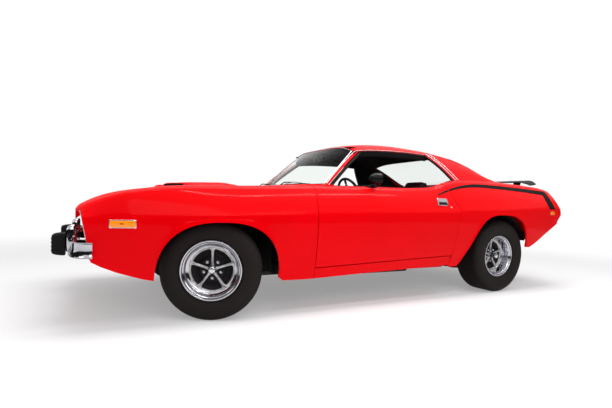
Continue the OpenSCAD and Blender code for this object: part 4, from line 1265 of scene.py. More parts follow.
# %% Wheels
def rim_profile(w, disc):
    lip = w * 0.4
    face = [(FLANGE, lip - 4), (FLANGE, lip - 1), (FLANGE - 1.5, lip + 0.5), (FLANGE - 6, lip + 0.8),
            (FLANGE - 10, lip - 0.5), (FLANGE - 13, lip - 5), (FLANGE - 15, lip - 12), (FLANGE - 22, lip - 17),
            (FLANGE - 25, lip - 22), (FLANGE - 29, lip - 34), (FLANGE - 36, mix(lip - 34, disc + 8, 0.5)),
            (FLANGE - 42, disc + 10), (FLANGE - 49, disc + 7), (FLANGE - 54, disc + 2)]
    back = [(FLANGE - 54, disc - 14), (BEAD - 22, disc - 22), (BEAD - 20, -lip + 26), (BEAD - 14, -lip + 10),
            (FLANGE - 8, -lip + 1), (FLANGE - 1, -lip), (FLANGE, -lip + 4), (BEAD, -lip + 10),
            (BEAD - 3, -lip + 34), (BEAD - 3, lip - 36), (BEAD, lip - 10)]
    return [tuple(p) for p in smooth_chain(face, 3)] + back


def spoke(disc):
    loops = []
    for i in range(19):
        t = i / 18
        r = mix(22, 150, t)
        wide = 7.5 + 1.5 * t + 16 * step(0.72, 1.0, t) ** 1.6 + 5 * (1 - step(0.0, 0.2, t))
        front = disc + 6 - 7 * math.sin(math.pi * min(1, t * 1.1)) + 3 * t
        loops.append([((front + h) * MM, s * wide * MM, r * MM) for s, h in
                      ((-1, -16), (-1, -1.5), (-0.8, 1.2), (-0.25, 2.6), (0.25, 2.6), (0.8, 1.2), (1, -1.5), (1, -16))])
    return loft(loops)


def wheel_nut(disc):
    hexagon = [[((disc + x) * MM, r * MM * math.cos(a), r * MM * math.sin(a)) for a in
                [math.pi / 3 * k for k in range(6)]] for x, r in
               ((-14, 10.5), (1, 10.5), (5, 8), (7, 4))]
    seat = moved(lathe([(0.01, 0), (13, 0), (11, 4), (0.01, 4)], 24), Matrix.Translation(((disc - 13) * MM, 0, 0)))
    away = Matrix.Rotation(math.pi, 4, "X") @ Matrix.Translation((0, 0, 0.0585))
    return moved(merge(loft(hexagon), seat), away)


def dish_profile(disc):
    pts = [(20, disc - 4), (34, disc - 8), (44, disc - 12), (76, disc - 12), (84, disc - 14), (92, disc - 22),
           (104, disc - 27), (118, disc - 26), (130, disc - 18), (150, disc - 10)]
    line = [tuple(p) for p in smooth_chain(pts, 4)]
    return line + [(150, disc - 30), (20, disc - 30)]


def arched_rib(disc):
    """A pressed rib in the dark centre, between two spokes."""
    pts = [((disc - 24) * MM, -0.109 * math.sin(a), -0.109 * math.cos(a)) for a in
           [math.radians(v) for v in range(-19, 20, 2)]]
    return tube(pts, [2.5 + 2.5 * math.sin(math.pi * i / 19) for i in range(20)], 8)


def cap_profile(disc, tall):
    pts = [(0.01, disc + tall), (14, disc + tall - 1), (21, disc + tall - 4), (24, disc + tall - 9),
           (26, disc + 0.4 * tall),
           (30, disc + 6), (33, disc - 2), (33, disc - 10)]
    return [tuple(p) for p in smooth_chain(pts, 4)] + [(0.01, disc - 10)]


def drum_profile(disc):
    return [(30, disc - 31), (128, disc - 33), (136, disc - 40), (136, disc - 78), (130, disc - 84), (30, disc - 84)]


SPOKES = 5
TURN = 2 * math.pi / SPOKES
for name, side, front in CORNERS:
    w, disc, body = (FRONT_W, 38, f"{name}_wheel") if front else (REAR_W, 14, f"{name}_wheel")
    make(f"{name}_rim", wheel_part(lathe(rim_profile(w, disc), 96, closed=True), side, front), chrome, body,
         sharp=40, outward=True, replaces=[f"{name}_wheel"])
    spokes = repeated(spoke(disc), SPOKES, TURN, material=wheel_silver)
    ring = lathe([(136, disc - 2), (139, disc + 5), (145, disc + 7.5), (151, disc + 6), (153, disc - 4),
                  (136, disc - 6)],
                 96, closed=True)
    make(f"{name}_spokes", wheel_part(merge(spokes, ring), side, front), wheel_silver, body, sharp=50,
         outward=True)
    ribs = repeated(arched_rib(disc), SPOKES, TURN)
    # The dish runs out under the open windows to the rim, so its dark stands for their shade as well as for the hub's
    # black paint.
    dish = lathe(dish_profile(disc), 96, closed=True)
    make(f"{name}_dish", wheel_part(merge(dish, ribs), side, front), wheel_paint_and_shade, body, outward=True)
    nuts = repeated(wheel_nut(disc), SPOKES, TURN)
    stem = tube([(x * MM, 0, -z * MM) for x, z in ((disc - 10, 160), (disc + 18, 164), (disc + 30, 166))], 3.4, 10)
    make(f"{name}_nuts", wheel_part(nuts, side, front), chrome, body, outward=True)
    make(f"{name}_cap", wheel_part(lathe(cap_profile(disc, 33 if front else 76), 64), side, front), stainless,
         body, outward=True)
    make(f"{name}_valve", wheel_part(stem, side, front), rubber_block, body, outward=True)
    make(f"{name}_brake_drum", wheel_part(lathe(drum_profile(disc), 64, closed=True), side, front), iron, body,
         outward=True)
print("wheels on", len(CORNERS), "corners")

# %% [markdown]
# Lamps, handles, trim and stripes sit on curved metal. A ray sent at the finished skin from the side finds
# the surface point and its direction, so a small patch can be laid on the body and lifted by its thickness.

# %% Laying patches on the skin
SKIN = BVHTree.FromPolygons(*merge(fender_skin, door_shell, quarter_whole, sills))


def on_skin(y, z, lift=0.0):
    hit, normal, _, _ = SKIN.ray_cast(Vector(at(1500, y, z)), Vector((-1, 0, 0)))
    if hit is None:
        hit, normal = Vector(at(curve(CREST, y, 1), y, z)), Vector((1, 0, 0))
    if normal.x < 0:
        normal = -normal
    return hit + normal * lift * MM


def skin_patch(outline, thickness, sink=3.0, dome=0.0):
    """A plate on the skin inside an outline of (y, z) corners, by rings that shrink to its middle."""
    cy = sum(p[0] for p in outline) / len(outline)
    cz = sum(p[1] for p in outline) / len(outline)
    loops = []
    for scale, lift in ((1.0, -sink), (1.0, thickness * 0.7), (0.97, thickness), (0.6, thickness + dome * 0.7),
                        (0.25, thickness + dome)):
        loops.append([tuple(on_skin(mix(cy, y, scale), mix(cz, z, scale), lift)) for y, z in outline])
    return loft(loops)


def rounded_box(y0, y1, z0, z1, r=4, n=4, slant=0.0):
    pts = []
    for cy, cz, a0 in ((y1 - r, z1 - r, 0), (y0 + r, z1 - r, 90), (y0 + r, z0 + r, 180), (y1 - r, z0 + r, 270)):
        for k in range(n + 1):
            a = math.radians(a0 + 90 * k / n)
            pts.append((cy + r * math.cos(a) + slant * (cz + r * math.sin(a) - z0), cz + r * math.sin(a)))
    out = []
    for i, p in enumerate(pts):
        q = pts[(i + 1) % len(pts)]
        steps = max(1, int(math.dist(p, q) / 12))
        out += [(mix(p[0], q[0], k / steps), mix(p[1], q[1], k / steps)) for k in range(steps)]
    return out


print("skin at the door", [round(c, 3) for c in on_skin(0, 700)])

# %% [markdown]
# Amber markers on the fenders and small ones at the tail show the car's length at night. Each is a moulded
# lens in a thin bright frame. The lens is slightly domed so it catches one highlight.

# %% Side markers
front_marker = both(skin_patch(rounded_box(-2072, -1941, 613, 652, 5), 7, dome=2))
front_bezel = both(skin_patch(rounded_box(-2077, -1936, 608, 657, 7), 3))
rear_marker = both(skin_patch(rounded_box(2040, 2118, 774, 803, 4, slant=0.3), 5, dome=1))
rear_bezel = both(skin_patch(rounded_box(2036, 2122, 770, 807, 5, slant=0.3), 2.2))
screw = both(skin_patch([(-2012 + 13 * math.cos(a), 634 + 3.4 * math.sin(a)) for a in
                         around(16)], 9.6))
make("side_marker_lenses", merge(front_marker, rear_marker), amber_lens, "body", outward=True)
make("side_marker_frames", merge(front_bezel, rear_bezel), stainless, "body", outward=True)
make("side_marker_bulbs", screw, ruby_lens, "body", outward=True)
print("markers on")

# %% [markdown]
# A satin black tape stripe runs back from the door, over the rear wheel and hooks down at the tail. Tape is
# a tenth of a millimetre thick, so it is a patch lifted just enough to clear the paint and follow every curve.

# %% Side stripe
STRIPE = [(455, 909, 9), (560, 946, 14), (680, 979, 19), (800, 1001, 24), (921, 1015, 28), (1080, 1020, 31),
          (1300, 1018, 33), (1550, 1012, 36), (1780, 1005, 40), (2000, 997, 44)]


TAPE_LIFT, TAPE_DEPTH = 2.2, 2.4


def ribbon(stations, edges, across=6):
    rows = []
    for y, z, wide, (ny, nz) in stations:
        rows.append([tuple(on_skin(y + ny * wide * (k / across - 0.5), z + nz * wide * (k / across - 0.5), edges))
                     for k in range(across + 1)])
    return rows


def stripe_stations():
    line = smooth_chain([(y, z, w) for y, z, w in STRIPE], 16)
    out = []
    for i, (y, z, w) in enumerate(line):
        a, b = line[max(0, i - 1)], line[min(len(line) - 1, i + 1)]
        d = Vector((b[0] - a[0], b[1] - a[1])).normalized()
        out.append((y, z, w, (-d.y, d.x)))
    return out


def stripe_leg():
    """The broad part that hooks down to the marker lamp, as rows from its top to its foot."""
    rows = []
    for i in range(25):
        t = i / 24
        z = mix(1020, 830, t)
        front, rear = mix(1972, 2024, t) - 4 * math.sin(math.pi * t), mix(2062, 2146, t)
        rows.append([tuple(on_skin(mix(front, rear, k / 8), z - (1 - t) * 3 * k / 8, TAPE_LIFT)) for k in range(9)])
    return rows


def tape(rows, depth=TAPE_DEPTH):
    back = [[(x - depth * MM, y, z) for x, y, z in row] for row in rows]
    return thick(rows, back)


def tape_parts():
    parts = []
    stations = stripe_stations()
    for chunk in ([s for s in stations if s[0] <= gap_y(s[1]) - 6], [s for s in stations if s[0] >= gap_y(s[1]) + 8]):
        parts.append(tape(ribbon(chunk, TAPE_LIFT)))
    return parts


door_tape, rear_tape = tape_parts()
for side, flip in SIDES:
    make(f"{side}_door_stripe", flip(door_tape), stripe_black, f"{side}_door", outward=True)
make("quarter_stripes", both(merge(rear_tape, tape(stripe_leg()))), stripe_black, "body", outward=True)
print("stripe stations", len(stripe_stations()))

# %% [markdown]
# The door handle is a flush pull: a bright frame, a flap that hinges out, and under it a black patch on the skin that
# paints the shade of the finger pocket.
# The lock cylinder sits just below. All of it rides on its door.

# %% Door handles and locks
HANDLE = (424, 536, 818, 880)


def handle_parts():
    y0, y1, z0, z1 = HANDLE
    frame_part = skin_patch(rounded_box(y0, y1, z0, z1, 7), 4)
    flap = skin_patch(rounded_box(y0 + 6, y1 - 6, z0 + 30, z1 - 5, 5), 9, dome=2)
    # Painted shade: a flat black patch on the skin stands for the shaded finger pocket.
    pocket = skin_patch(rounded_box(y0 + 7, y1 - 7, z0 + 6, z0 + 27, 4), 5)
    lock = skin_patch([(566 + 9 * math.cos(a), 806 + 9 * math.sin(a)) for a in
                       around(20)], 4, dome=1)
    return merge(frame_part, flap, lock), pocket


handle_bright, handle_shade = handle_parts()
for side, flip in SIDES:
    make(f"{side}_door_handle", flip(handle_bright), chrome, f"{side}_door", outward=True, sharp=45)
    make(f"{side}_handle_pocket_shade", flip(handle_shade), satin_black, f"{side}_door", outward=True)
print("handles on")

# %% [markdown]
# A round sport mirror stands on the left door: a turned shell on a short stalk, with silvered glass facing
# back to the driver.

# %% Door mirror
def mirror_part():
    head = Vector(at(868, -226, 1008))
    shell_line = smooth_chain([(0.01, -52), (11, -50), (24, -42), (35, -26), (42.5, -4), (45.5, 20), (46, 40),
                               (44.5, 47),
                               (42, 46)], 5)
    bowl = lathe([tuple(p) for p in shell_line] + [(41, 41), (0.01, 40.5)], 48)
    pose = Matrix.Translation(head) @ Matrix.Rotation(math.radians(-6), 4, "Z") @ Matrix.Rotation(math.pi / 2, 4, "Z")
    base = Vector(at(812, -215, curve(CREST, -215, 2) + 1))
    stalk_line = [base, base + Vector((0.014, 0.0, 0.014)), head + Vector((-0.012, 0.004, -0.048)),
                  head + Vector((-0.004, 0.006, -0.025))]
    line = [Vector(p) for p in smooth_chain([tuple(p) for p in stalk_line], 6)]
    stalk = tube(line, [15 - 6 * min(1, i / 8) for i in range(len(line))], 16)
    foot = [[tuple(base + Vector((math.cos(a) * 0.024 * s, math.sin(a) * 0.05 * s, h * MM))) for a in
             around(28)] for s, h in ((1, -3), (1, 3), (0.9, 7), (0.6, 10), (0.3, 12))]
    silver = moved(lathe([(0.01, 41), (41, 41), (41, 42.6), (40, 43.2), (0.01, 43.4)], 48), pose)
    return merge(moved(bowl, pose), stalk, loft(foot)), silver


mirror_shell, mirror_glass = mirror_part()
silvered = new_material("silvered_mirror_glass", Metallic=1.0, Roughness=0.02)[0]
make("mirror_shell", mirror_shell, gloss_black, "left_door", outward=True, replaces=["door_mirror"])
make("mirror_face", mirror_glass, silvered, "left_door", outward=True)
print("mirror on")

# %% [markdown]
# The front bumper is a plated steel blade with rolled edges that wraps round the corners. Two uprights stand
# on it and carry thick rubber blocks, the kind fitted so that a parking knock would leave no mark.

# %% Front bumper
def blade(path, section):
    """A bumper section of (out, up) carried along a plan path of (x, y)."""
    pts = [Vector((x, y, 0)) for x, y in smooth_chain(path, 8)]
    loops = []
    for i, p in enumerate(pts):
        d = (pts[min(i + 1, len(pts) - 1)] - pts[max(i - 1, 0)]).normalized()
        out = Vector((d.y, -d.x, 0))
        end = min(i, len(pts) - 1 - i)
        shrink = 1 - 0.18 * (1 - min(1, end / 3)) ** 2
        mid = sum(z for _, z in section) / len(section)
        loops.append([at(*(p + out * o)[:2], mix(mid, z, shrink)) for o, z in section])
    return loft(loops)


def mirrored_path(half):
    return [(-x, y) for x, y in reversed(half[1:])] + half


front_half = [(0, -2279), (300, -2278), (560, -2272), (740, -2258), (826, -2236), (864, -2206), (874, -2176),
              (874, -2158)]
bumper_section = [(-16, 438), (-4, 439), (4, 443), (8, 452), (10, 468), (10.5, 482), (10, 498), (8, 512), (4, 521),
                  (-4, 526), (-16, 527), (-16, 523), (-5, 520), (0, 512), (2, 482), (0, 452), (-5, 443), (-16, 442)]
front_blade = blade(list(reversed(mirrored_path(front_half))), bumper_section)


def guard():
    loops = []
    for z, front, half, deep in ((432, -2288, 30, 44), (440, -2300, 36, 56), (480, -2304, 39, 62), (540, -2304, 39, 62),
                                 (575, -2301, 37, 58), (595, -2292, 33, 48), (604, -2280, 27, 34),
                                 (606, -2270, 18, 20)):
        r = 9
        ring = []
        for cx, cy, a0 in ((half - r, deep - r, 0), (-half + r, deep - r, 90), (-half + r, r, 180), (half - r, r, 270)):
            for k in range(4):
                a = math.radians(a0 + 30 * k)
                ring.append(at(460 + cx + r * math.cos(a), front + cy + r * math.sin(a), z))
        loops.append(ring)
    return loft(loops)


def rubber_guard():
    loops = []
    for y, half, low, high, r in ((-2304, 53, 416, 554, 10), (-2318, 54, 415, 555, 12), (-2352, 51, 419, 551, 14),
                                  (-2368, 47, 424, 546, 15), (-2375, 41, 431, 539, 14), (-2376.4, 34, 438, 532, 12)):
        ring = []
        for cx, cz, a0 in ((half - r, high - r, 0), (-half + r, high - r, 90), (-half + r, low + r, 180),
                           (half - r, low + r, 270)):
            for k in range(5):
                a = math.radians(a0 + 22.5 * k)
                ring.append(at(460 + cx + r * math.cos(a), y, cz + r * math.sin(a)))
        loops.append(ring)
    grooves = repeated(bar(410, 510, -2379, -2372, 446, 449, 1.2), 4, step_by=(0, 0, 0.024), material=rubber_block)
    return merge(loft(loops), grooves)


make("front_bumper_blade", merge(front_blade, both(guard())), chrome, "body", sharp=50, outward=True,
     replaces=["front_bumper"])
make("front_bumper_blocks", both(rubber_guard()), rubber_block, "body", sharp=40, outward=True,
     replaces=["bumper_guards"])
irons = both(bar(360, 420, -2266, -2150, 452, 500, 5))
make("bumper_irons", irons, satin_black, "body")
print("front bumper", len(front_blade[0]))

# %% [markdown]
# Between the fenders the nose is a red frame around a deep black opening; a flat black sheet behind the grille paints
# the shade deep in it. The grille in it is a row of thin bars with uprights, made once and repeated. A single large
# round lamp sits in a bright ring at each side.

# %% Nose frame, grille and lower panel
def nose_ring(x):
    """How far back the nose frame curves at a point across the car."""
    return -2190 + 20 * (abs(x) / 790) ** 4


def frame_loop(half, low, high, r, depth, lean_back=0.0, n=10):
    pts = []
    for cx, cz, a0 in ((half - r, high - r, 0), (-half + r, high - r, 90), (-half + r, low + r, 180),
                       (half - r, low + r, 270)):
        for k in range(n):
            a = math.radians(a0 + 90 * k / (n - 1))
            pts.append((cx + r * math.cos(a), cz + r * math.sin(a)))
    out = []
    for i, p in enumerate(pts):
        q = pts[(i + 1) % len(pts)]
        steps = max(1, int(math.dist(p, q) / 60))
        out += [(mix(p[0], q[0], k / steps), mix(p[1], q[1], k / steps)) for k in range(steps)]
    return [at(x, nose_ring(x) + depth + lean_back * (z - low), z) for x, z in out]


def same_count(*loops):
    n = max(len(loop) for loop in loops)
    out = []
    for loop in loops:
        pts = [Vector(p) for p in loop]
        total = [0.0]
        for i, p in enumerate(pts):
            total.append(total[-1] + (pts[(i + 1) % len(pts)] - p).length)
        ring = []
        for k in range(n):
            d = total[-1] * k / n
            i = max(j for j in range(len(pts)) if total[j] <= d)
            t = (d - total[i]) / max(1e-9, total[i + 1] - total[i])
            ring.append(tuple(pts[i].lerp(pts[(i + 1) % len(pts)], t)))
        out.append(ring)
    return out


nose_loops = same_count(frame_loop(780, 533, 704, 30, 22), frame_loop(779, 534, 703, 30, 4),
                        frame_loop(774, 538, 700, 28, -2),
                        frame_loop(752, 556, 690, 40, 0), frame_loop(748, 560, 688, 40, 6),
                        frame_loop(742, 564, 684, 40, 34))
make("nose_frame", loft(nose_loops, caps=False), paint_red, "body", sharp=60, outward=True)
# Painted shade: a flat black sheet behind the bars fills the deep opening with dark.
grille_shade_sheet = bar(-750, 750, -2166, -2152, 548, 700, 3)
grille_bar = loft([[at(x, -2182 + dy, 567 + dz) for dy, dz in ((0, 1), (3, 3), (16, 3.5), (16, -0.5), (3, 0), (0, -1))]
                   for x in spaced(-446, 446, 12)])
grille_bars = repeated(grille_bar, 9, step_by=(0, 0, 0.0143), material=satin_black)
upright = bar(-446, -438, -2181, -2164, 560, 688, 2)
uprights = repeated(upright, 7, step_by=(0.1474, 0, 0), material=satin_black)
make("grille_mesh", merge(grille_shade_sheet, grille_bars, uprights), satin_black, "body",
     replaces=["grille_panel"])
grille_edge = tube([at(x, nose_ring(x) - 3, z) for x, z in
                    [(-742 + 1484 * k / 40, 563) for k in range(41)]], 3, 8)
make("grille_lower_trim", grille_edge, stainless, "body", outward=True)


def lower_panel():
    profile = [(-2134, 388), (-2170, 386), (-2183, 392), (-2187, 400), (-2182, 408), (-2172, 424), (-2166, 450),
               (-2164, 490), (-2168, 520), (-2182, 536), (-2180, 542), (-2154, 543)]
    loops = []
    line = smooth_chain(profile, 3)
    for k in range(61):
        x = mix(-792, 792, k / 60)
        back = 34 * (abs(x) / 790) ** 5
        loops.append([at(x, y + back * (0.4 if y > -2160 else 1),
                         z + 14 * (abs(x) / 790) ** 4 * (z < 430)) for y, z in line])
    return thick(loops, [[(x, y + 0.006, z + 0.001) for x, y, z in loop] for loop in loops])


make("front_lower_panel", lower_panel(), paint_red, "body", sharp=50, outward=True,
     replaces=["front_valance"])
edge_trim = [(tuck(nose_y(z), z) - 8, nose_y(z) + 1, z) for z in spaced(436, 706, 24)]
make("nose_edge_trim", both(flat_trim(edge_trim, 8, 4, (0.25, -1, 0))), stainless, "body", outward=True)
corner = []
for z in spaced(440, 706, 16):
    y, reach = nose_y(z) + 24, tuck(nose_y(z) + 24, z) - 13
    corner.append([at(x, y + dy, z) for x, dy in ((768, 0), (reach, 0), (reach, 5), (768, 5))])
make("nose_corner_panels", both(loft(corner)), paint_red, "body", sharp=60, outward=True)
make("lamp_closing_panels", both(bar(424, 800, -2146, -2138, 402, 706, 3)), satin_black, "body")
print("nose frame points", len(nose_loops[0]))

# %% [markdown]
# A sealed-beam headlamp is a fluted glass dome held by a bright ring. The ring and dome are turned; the
# dome's flutes come from its material. Small round lamps below are for parking.

# %% Front lamps
def lamp_at(x, z, y, scale):
    turn = Matrix.Translation(at(x, y, z)) @ Matrix.Rotation(-math.pi / 2, 4, "Z") @ Matrix.Scale(scale, 4)
    dome = lathe([tuple(p) for p in smooth_chain([(0.01, 16), (30, 15), (58, 11), (76, 4), (84, -3), (84, -12)], 4)]
                 + [(0.01, -12)], 64)
    ring = lathe([(84, -14), (84, 2), (87, 8), (93, 10), (99, 6), (101, -2), (101, -14)], 64, closed=True)
    bucket = lathe([(100, -16), (112, 4), (116, 4), (116, -18), (100, -24)], 64, closed=True)
    return [moved(p, turn) for p in (dome, ring, bucket)]


domes, rings, buckets = zip(*[lamp_at(x, 624, -2180, 0.76) for x in (-598, 598)])
make("headlamp_domes", merge(*domes), lamp_glass, "body", outward=True, replaces=["headlights"])
make("headlamp_rings", merge(*rings), chrome, "body", outward=True)
make("headlamp_buckets", merge(*buckets), satin_black, "body", outward=True)
parks = [lamp_at(x, 463, -2170, 0.3) for x in (-600, 600)]
make("parking_lamps", merge(*[p[0] for p in parks]), amber_lens, "body", outward=True)
make("parking_rings", merge(*[p[1] for p in parks]), chrome, "body", outward=True)
print("lamps on")

# %% [markdown]
# The cabin is black. Loop carpet covers the floor, climbs the toe board and wraps the transmission tunnel.
# It is one bent sheet, so the edge of the tunnel is soft, as carpet on felt is.

# %% Carpet and side trim
FLOOR_LINE = [(-788, 560), (-786, 430), (-770, 360), (-735, 304), (-690, 293), (-200, 292), (600, 292), (650, 305),
              (720, 380), (768, 440)]


def carpet_rows():
    rows = []
    for y, z in smooth_chain(FLOOR_LINE, 6):
        top = max(z, 474 if y < 790 else z)
        across = [(-700, z), (-420, z), (-190, z), (-150, z + 4), (-141, z + 24), (-139, top - 12), (-128, top + 1),
                  (-60, top + 3), (0, top + 3.5)]
        line = smooth_chain(across, 3)
        rows.append([at(x, y, h) for x, h in line] + [at(-x, y, h) for x, h in reversed(line[:-1])])
    return rows


pile = carpet_rows()
make("floor_carpet", thick(pile, [[(x, y, z - 0.003) for x, y, z in row] for row in pile], flip=True), carpet, "body",
     outward=True)
SIDE_PLAN = [(739, 548), (739, 645), (728, 700), (668, 790), (618, 850), (606, 880), (606, 1004)]


def rear_side_trim():
    rows = []
    for x, y in smooth_chain(SIDE_PLAN, 4):
        low, high = (320 if y < 660 else mix(320, 500, min(1, (y - 660) / 160))), mix(940, 985, step(560, 1000, y))
        rows.append([at(x - (18 if 0.52 < t < 0.6 else 10 if 0.48 < t < 0.64 else 0) * (y > 600), y, mix(low, high, t))
                     for t in [k / 24 for k in range(25)]])
    return thick(rows, [[(x + 0.004, y, z) for x, y, z in row] for row in rows])


make("rear_side_trim", both(rear_side_trim()), vinyl_black, "body", sharp=60, outward=True)
speaker = both(moved(lathe([(0.01, 6), (60, 5), (74, 3), (78, 0), (78, -2), (0.01, -2)], 40),
                     Matrix.Translation(at(380, 1160, 1026)) @ Matrix.Rotation(-math.pi / 2, 4, "Y")))
make("parcel_shelf", merge(bar(-592, 592, 1006, 1420, 1020.5, 1026, 2), speaker), lining, "body")
print("carpet rows", len(pile))

# %% [markdown]
# The dashboard is a padded vinyl roll over a recessed face. The face holds round gauges with plain ticks, a
# radio with two knobs, sliders for the heater and a locker lid on the passenger's side.

# %% Dashboard
def dash_profile(x):
    """(y, z) around the section; the brow over the gauges is heavier in front of the driver."""
    brow = 10 * step(150, 220, x) * (1 - step(520, 600, x))
    pts = [(-790, 882), (-700, 889), (-560, 889), (-480, 882), (-432, 874 + brow * 0.3), (-417, 862), (-421, 853),
           (-440, 850), (-442, 846), (-443, 744), (-441, 740), (-425, 736), (-420, 722), (-424, 704), (-444, 692),
           (-520, 700), (-640, 745), (-790, 784)]
    return pts


def dash_body():
    loops = []
    for k in range(49):
        u = -1 + 2 * k / 48
        x = 690 * u
        ends = 1 - 0.05 * max(0, (abs(u) - 0.93) / 0.07) ** 2
        loops.append([at(x, mix(-600, y, ends), mix(790, z, ends)) for y, z in dash_profile(x)])
    return loft(loops)


make("dash_pad", dash_body(), vinyl_black, "body", sharp=50, outward=True, replaces=["dashboard"])
face = merge(bar(160, 560, -444, -440, 743, 848, 1.5), bar(-90, 120, -444, -439, 743, 848, 1.5))
make("dash_face", face, stainless, "body")
glove = merge(bar(-640, -140, -445, -437, 748, 844, 6), bar(590, 662, -445, -438, 770, 830, 5))
make("glove_box_lid", glove, plastic_black, "body")


def facing_back(x, y, z):
    return Matrix.Translation(at(x, y, z)) @ Matrix.Rotation(math.pi / 2, 4, "Z")


GAUGES = [(286, 795, 43), (426, 795, 43), (356, 822, 21), (356, 770, 21), (506, 795, 32), (204, 795, 26)]
dials, bezels, marks, needles, covers = [], [], [], [], []
for x, z, r in GAUGES:
    pose = facing_back(x, -439, z)
    dials.append(moved(lathe([(0.01, 2), (r, 2), (r, -2), (0.01, -2)], 40), pose))
    bezels.append(moved(lathe([(r, 0), (r, 5), (r + 2, 8), (r + 4, 6), (r + 5, 0)], 48, closed=True), pose))
    covers.append(moved(lathe([(0.01, 6), (r, 6), (r, 7), (0.01, 7)], 40), pose))
    for k in range(11):
        a = math.radians(-130 + 26 * k)
        spot = Matrix.Translation(at(x + r * 0.84 * math.sin(a), -436.6, z + r * 0.84 * math.cos(a))) @ \
            Matrix.Rotation(a, 4, "Y") @ Matrix.Translation((0, -MIDDLE_Y * MM, 0))
        marks.append(moved(bar(-0.8, 0.8, -0.5, 0.5, -r * 0.08, r * 0.08, 0.1, 1), spot))
    a = math.radians(-96)
    spot = Matrix.Translation(at(x, -435.4, z)) @ Matrix.Rotation(a, 4,
                                                                  "Y") @ Matrix.Translation((0, -MIDDLE_Y * MM, 0))
    needles.append(moved(bar(-0.9, 0.9, -0.5, 0.5, -r * 0.18, r * 0.76, 0.2, 1), spot))
make("gauge_dials", merge(*dials), plastic_black, "body", outward=True)
make("gauge_bezels", merge(*bezels), chrome, "body", outward=True)
make("gauge_marks", merge(*marks), white_paint, "body", outward=True)
make("gauge_needles", merge(*needles), ruby_lens, "body", outward=True)
make("gauge_covers", merge(*covers), glass, "body", outward=True)
knob = lathe([(0.01, 16), (7, 16), (8.5, 14), (9, 0), (0.01, 0)], 24)
knobs = [moved(knob, facing_back(x, -440, z)) for x,
         z in ((-70, 815), (98, 815), (-52, 765), (14, 765), (80, 765), (-392, 770))]
radio = merge(bar(-50, 78, -441, -431, 797, 833, 3))
make("radio_and_slots", merge(radio, bar(-40, 66, -441, -436, 780, 785, 1)), gloss_black, "body")
make("dash_knobs", merge(*knobs), chrome, "body", outward=True)
print("gauges", len(GAUGES))

# %% [markdown]
# The steering wheel has a thin black rim, three brushed spokes with holes and a soft horn pad. It turns with
# the steering joint. The column behind it has a collar, a turn-signal stalk and a key barrel.

# %% Steering wheel and column
WHEEL_POSE = Matrix.Translation(at(360, -160, 850)) @ Matrix.Rotation(math.radians(112), 4, "X")
TURNED = WHEEL_POSE @ Matrix.Rotation(-math.pi / 2, 4, "Y")
rim_ring = lathe([(175.5 + 11.6 * math.cos(a), -45 + 11.6 * math.sin(a)) for a in
                  around(20)], 96, closed=True)
make("wheel_rim_grip", moved(rim_ring, TURNED), vinyl_black, "steering_wheel", outward=True,
     replaces=["steering_wheel"])


def spoke_arm(angle):
    outline = [(30, -18), (100, -13), (166, -17), (166, 17), (100, 13), (30, 18)]
    holes = [[(c + h * math.cos(a), h * math.sin(a)) for a in around(20)]
             for c, h in ((66, 8), (96, 7), (124, 6))]
    work = bmesh.new()
    loops = [outline] + holes
    edges = []
    for loop in loops:
        vs = [work.verts.new((x * MM, y * MM, -0.046)) for x, y in loop]
        edges += [work.edges.new((vs[i], vs[(i + 1) % len(vs)])) for i in range(len(vs))]
    bmesh.ops.triangle_fill(work, edges=edges, use_beauty=True)
    for f in [f for f in work.faces if any((Vector(f.calc_center_median()[:2]) - Vector((c * MM,
            0))).length < h * MM * 0.9
                                           for c, h in ((66, 8), (96, 7), (124, 6)))]:
        work.faces.remove(f)
    flat = work.faces[:]
    grown = bmesh.ops.extrude_face_region(work, geom=flat)
    bmesh.ops.translate(work, vec=(0, 0, 0.004), verts=[g for g in grown["geom"] if isinstance(g, bmesh.types.BMVert)])
    work.verts.index_update()
    part = ([tuple(v.co) for v in work.verts], [tuple(v.index for v in f.verts) for f in work.faces])
    work.free()
    return moved(part, WHEEL_POSE @ Matrix.Rotation(math.radians(angle), 4, "Z"))


make("wheel_spokes", merge(*[spoke_arm(a) for a in (0, 90, 180)]), stainless, "steering_wheel", outward=True)
hub = lathe([(0.01, -66), (24, -65.5), (34, -62), (40, -54), (41, -44), (38, -30), (30, -4), (0.01, -4)], 48)
make("horn_pad", moved(hub, TURNED), vinyl_black, "steering_wheel", outward=True)
column = lathe([(0.01, 2), (24, 2), (33, 8), (34, 70), (30, 84), (26, 92), (26, 262), (0.01, 262)], 40)
stalk = tube([WHEEL_POSE @ Vector(p) for p in ((0.03, 0, 0.03), (0.08, 0.004, 0.02), (0.14, 0.006, 0.008))],
             [4, 3.5, 3], 12)
key = moved(lathe([(0.01, 14), (8, 14), (9, 12), (9, 0), (0.01, 0)], 24),
            WHEEL_POSE @ Matrix.Translation((-0.03, 0, 0.05)) @ Matrix.Rotation(math.pi, 4, "Z"))
make("column_shroud", moved(column, TURNED), plastic_black, "body", outward=True,
     replaces=["steering_column"])
make("column_stalk", merge(stalk, key), chrome, "body", outward=True)
print("steering wheel made")

# %% [markdown]
# Between the seats runs a console with a chrome shift gate, a shift lever and a padded lid. Pedals hang
# under the dash.

# %% Console and pedals
def console_part():
    rows = []
    for y in [-414, -400, -300, -120, 0, 40, 120, 300, 404, 419]:
        end = 0.94 if y in (-414, 419) else 1.0
        top = 538 if y >= 40 else mix(530, 520, step(-400, 0, y))
        ring = []
        for cx, cz, a0 in ((98, top - 10, 0), (-98, top - 10, 90)):
            for k in range(5):
                a = math.radians(a0 + 22.5 * k)
                ring.append((cx + 10 * math.cos(a), cz + 10 * math.sin(a)))
        ring += [(-109, 476), (109, 476)]
        rows.append([at(x * end, y, mix(505, z, end)) for x, z in ring])
    return loft(rows)


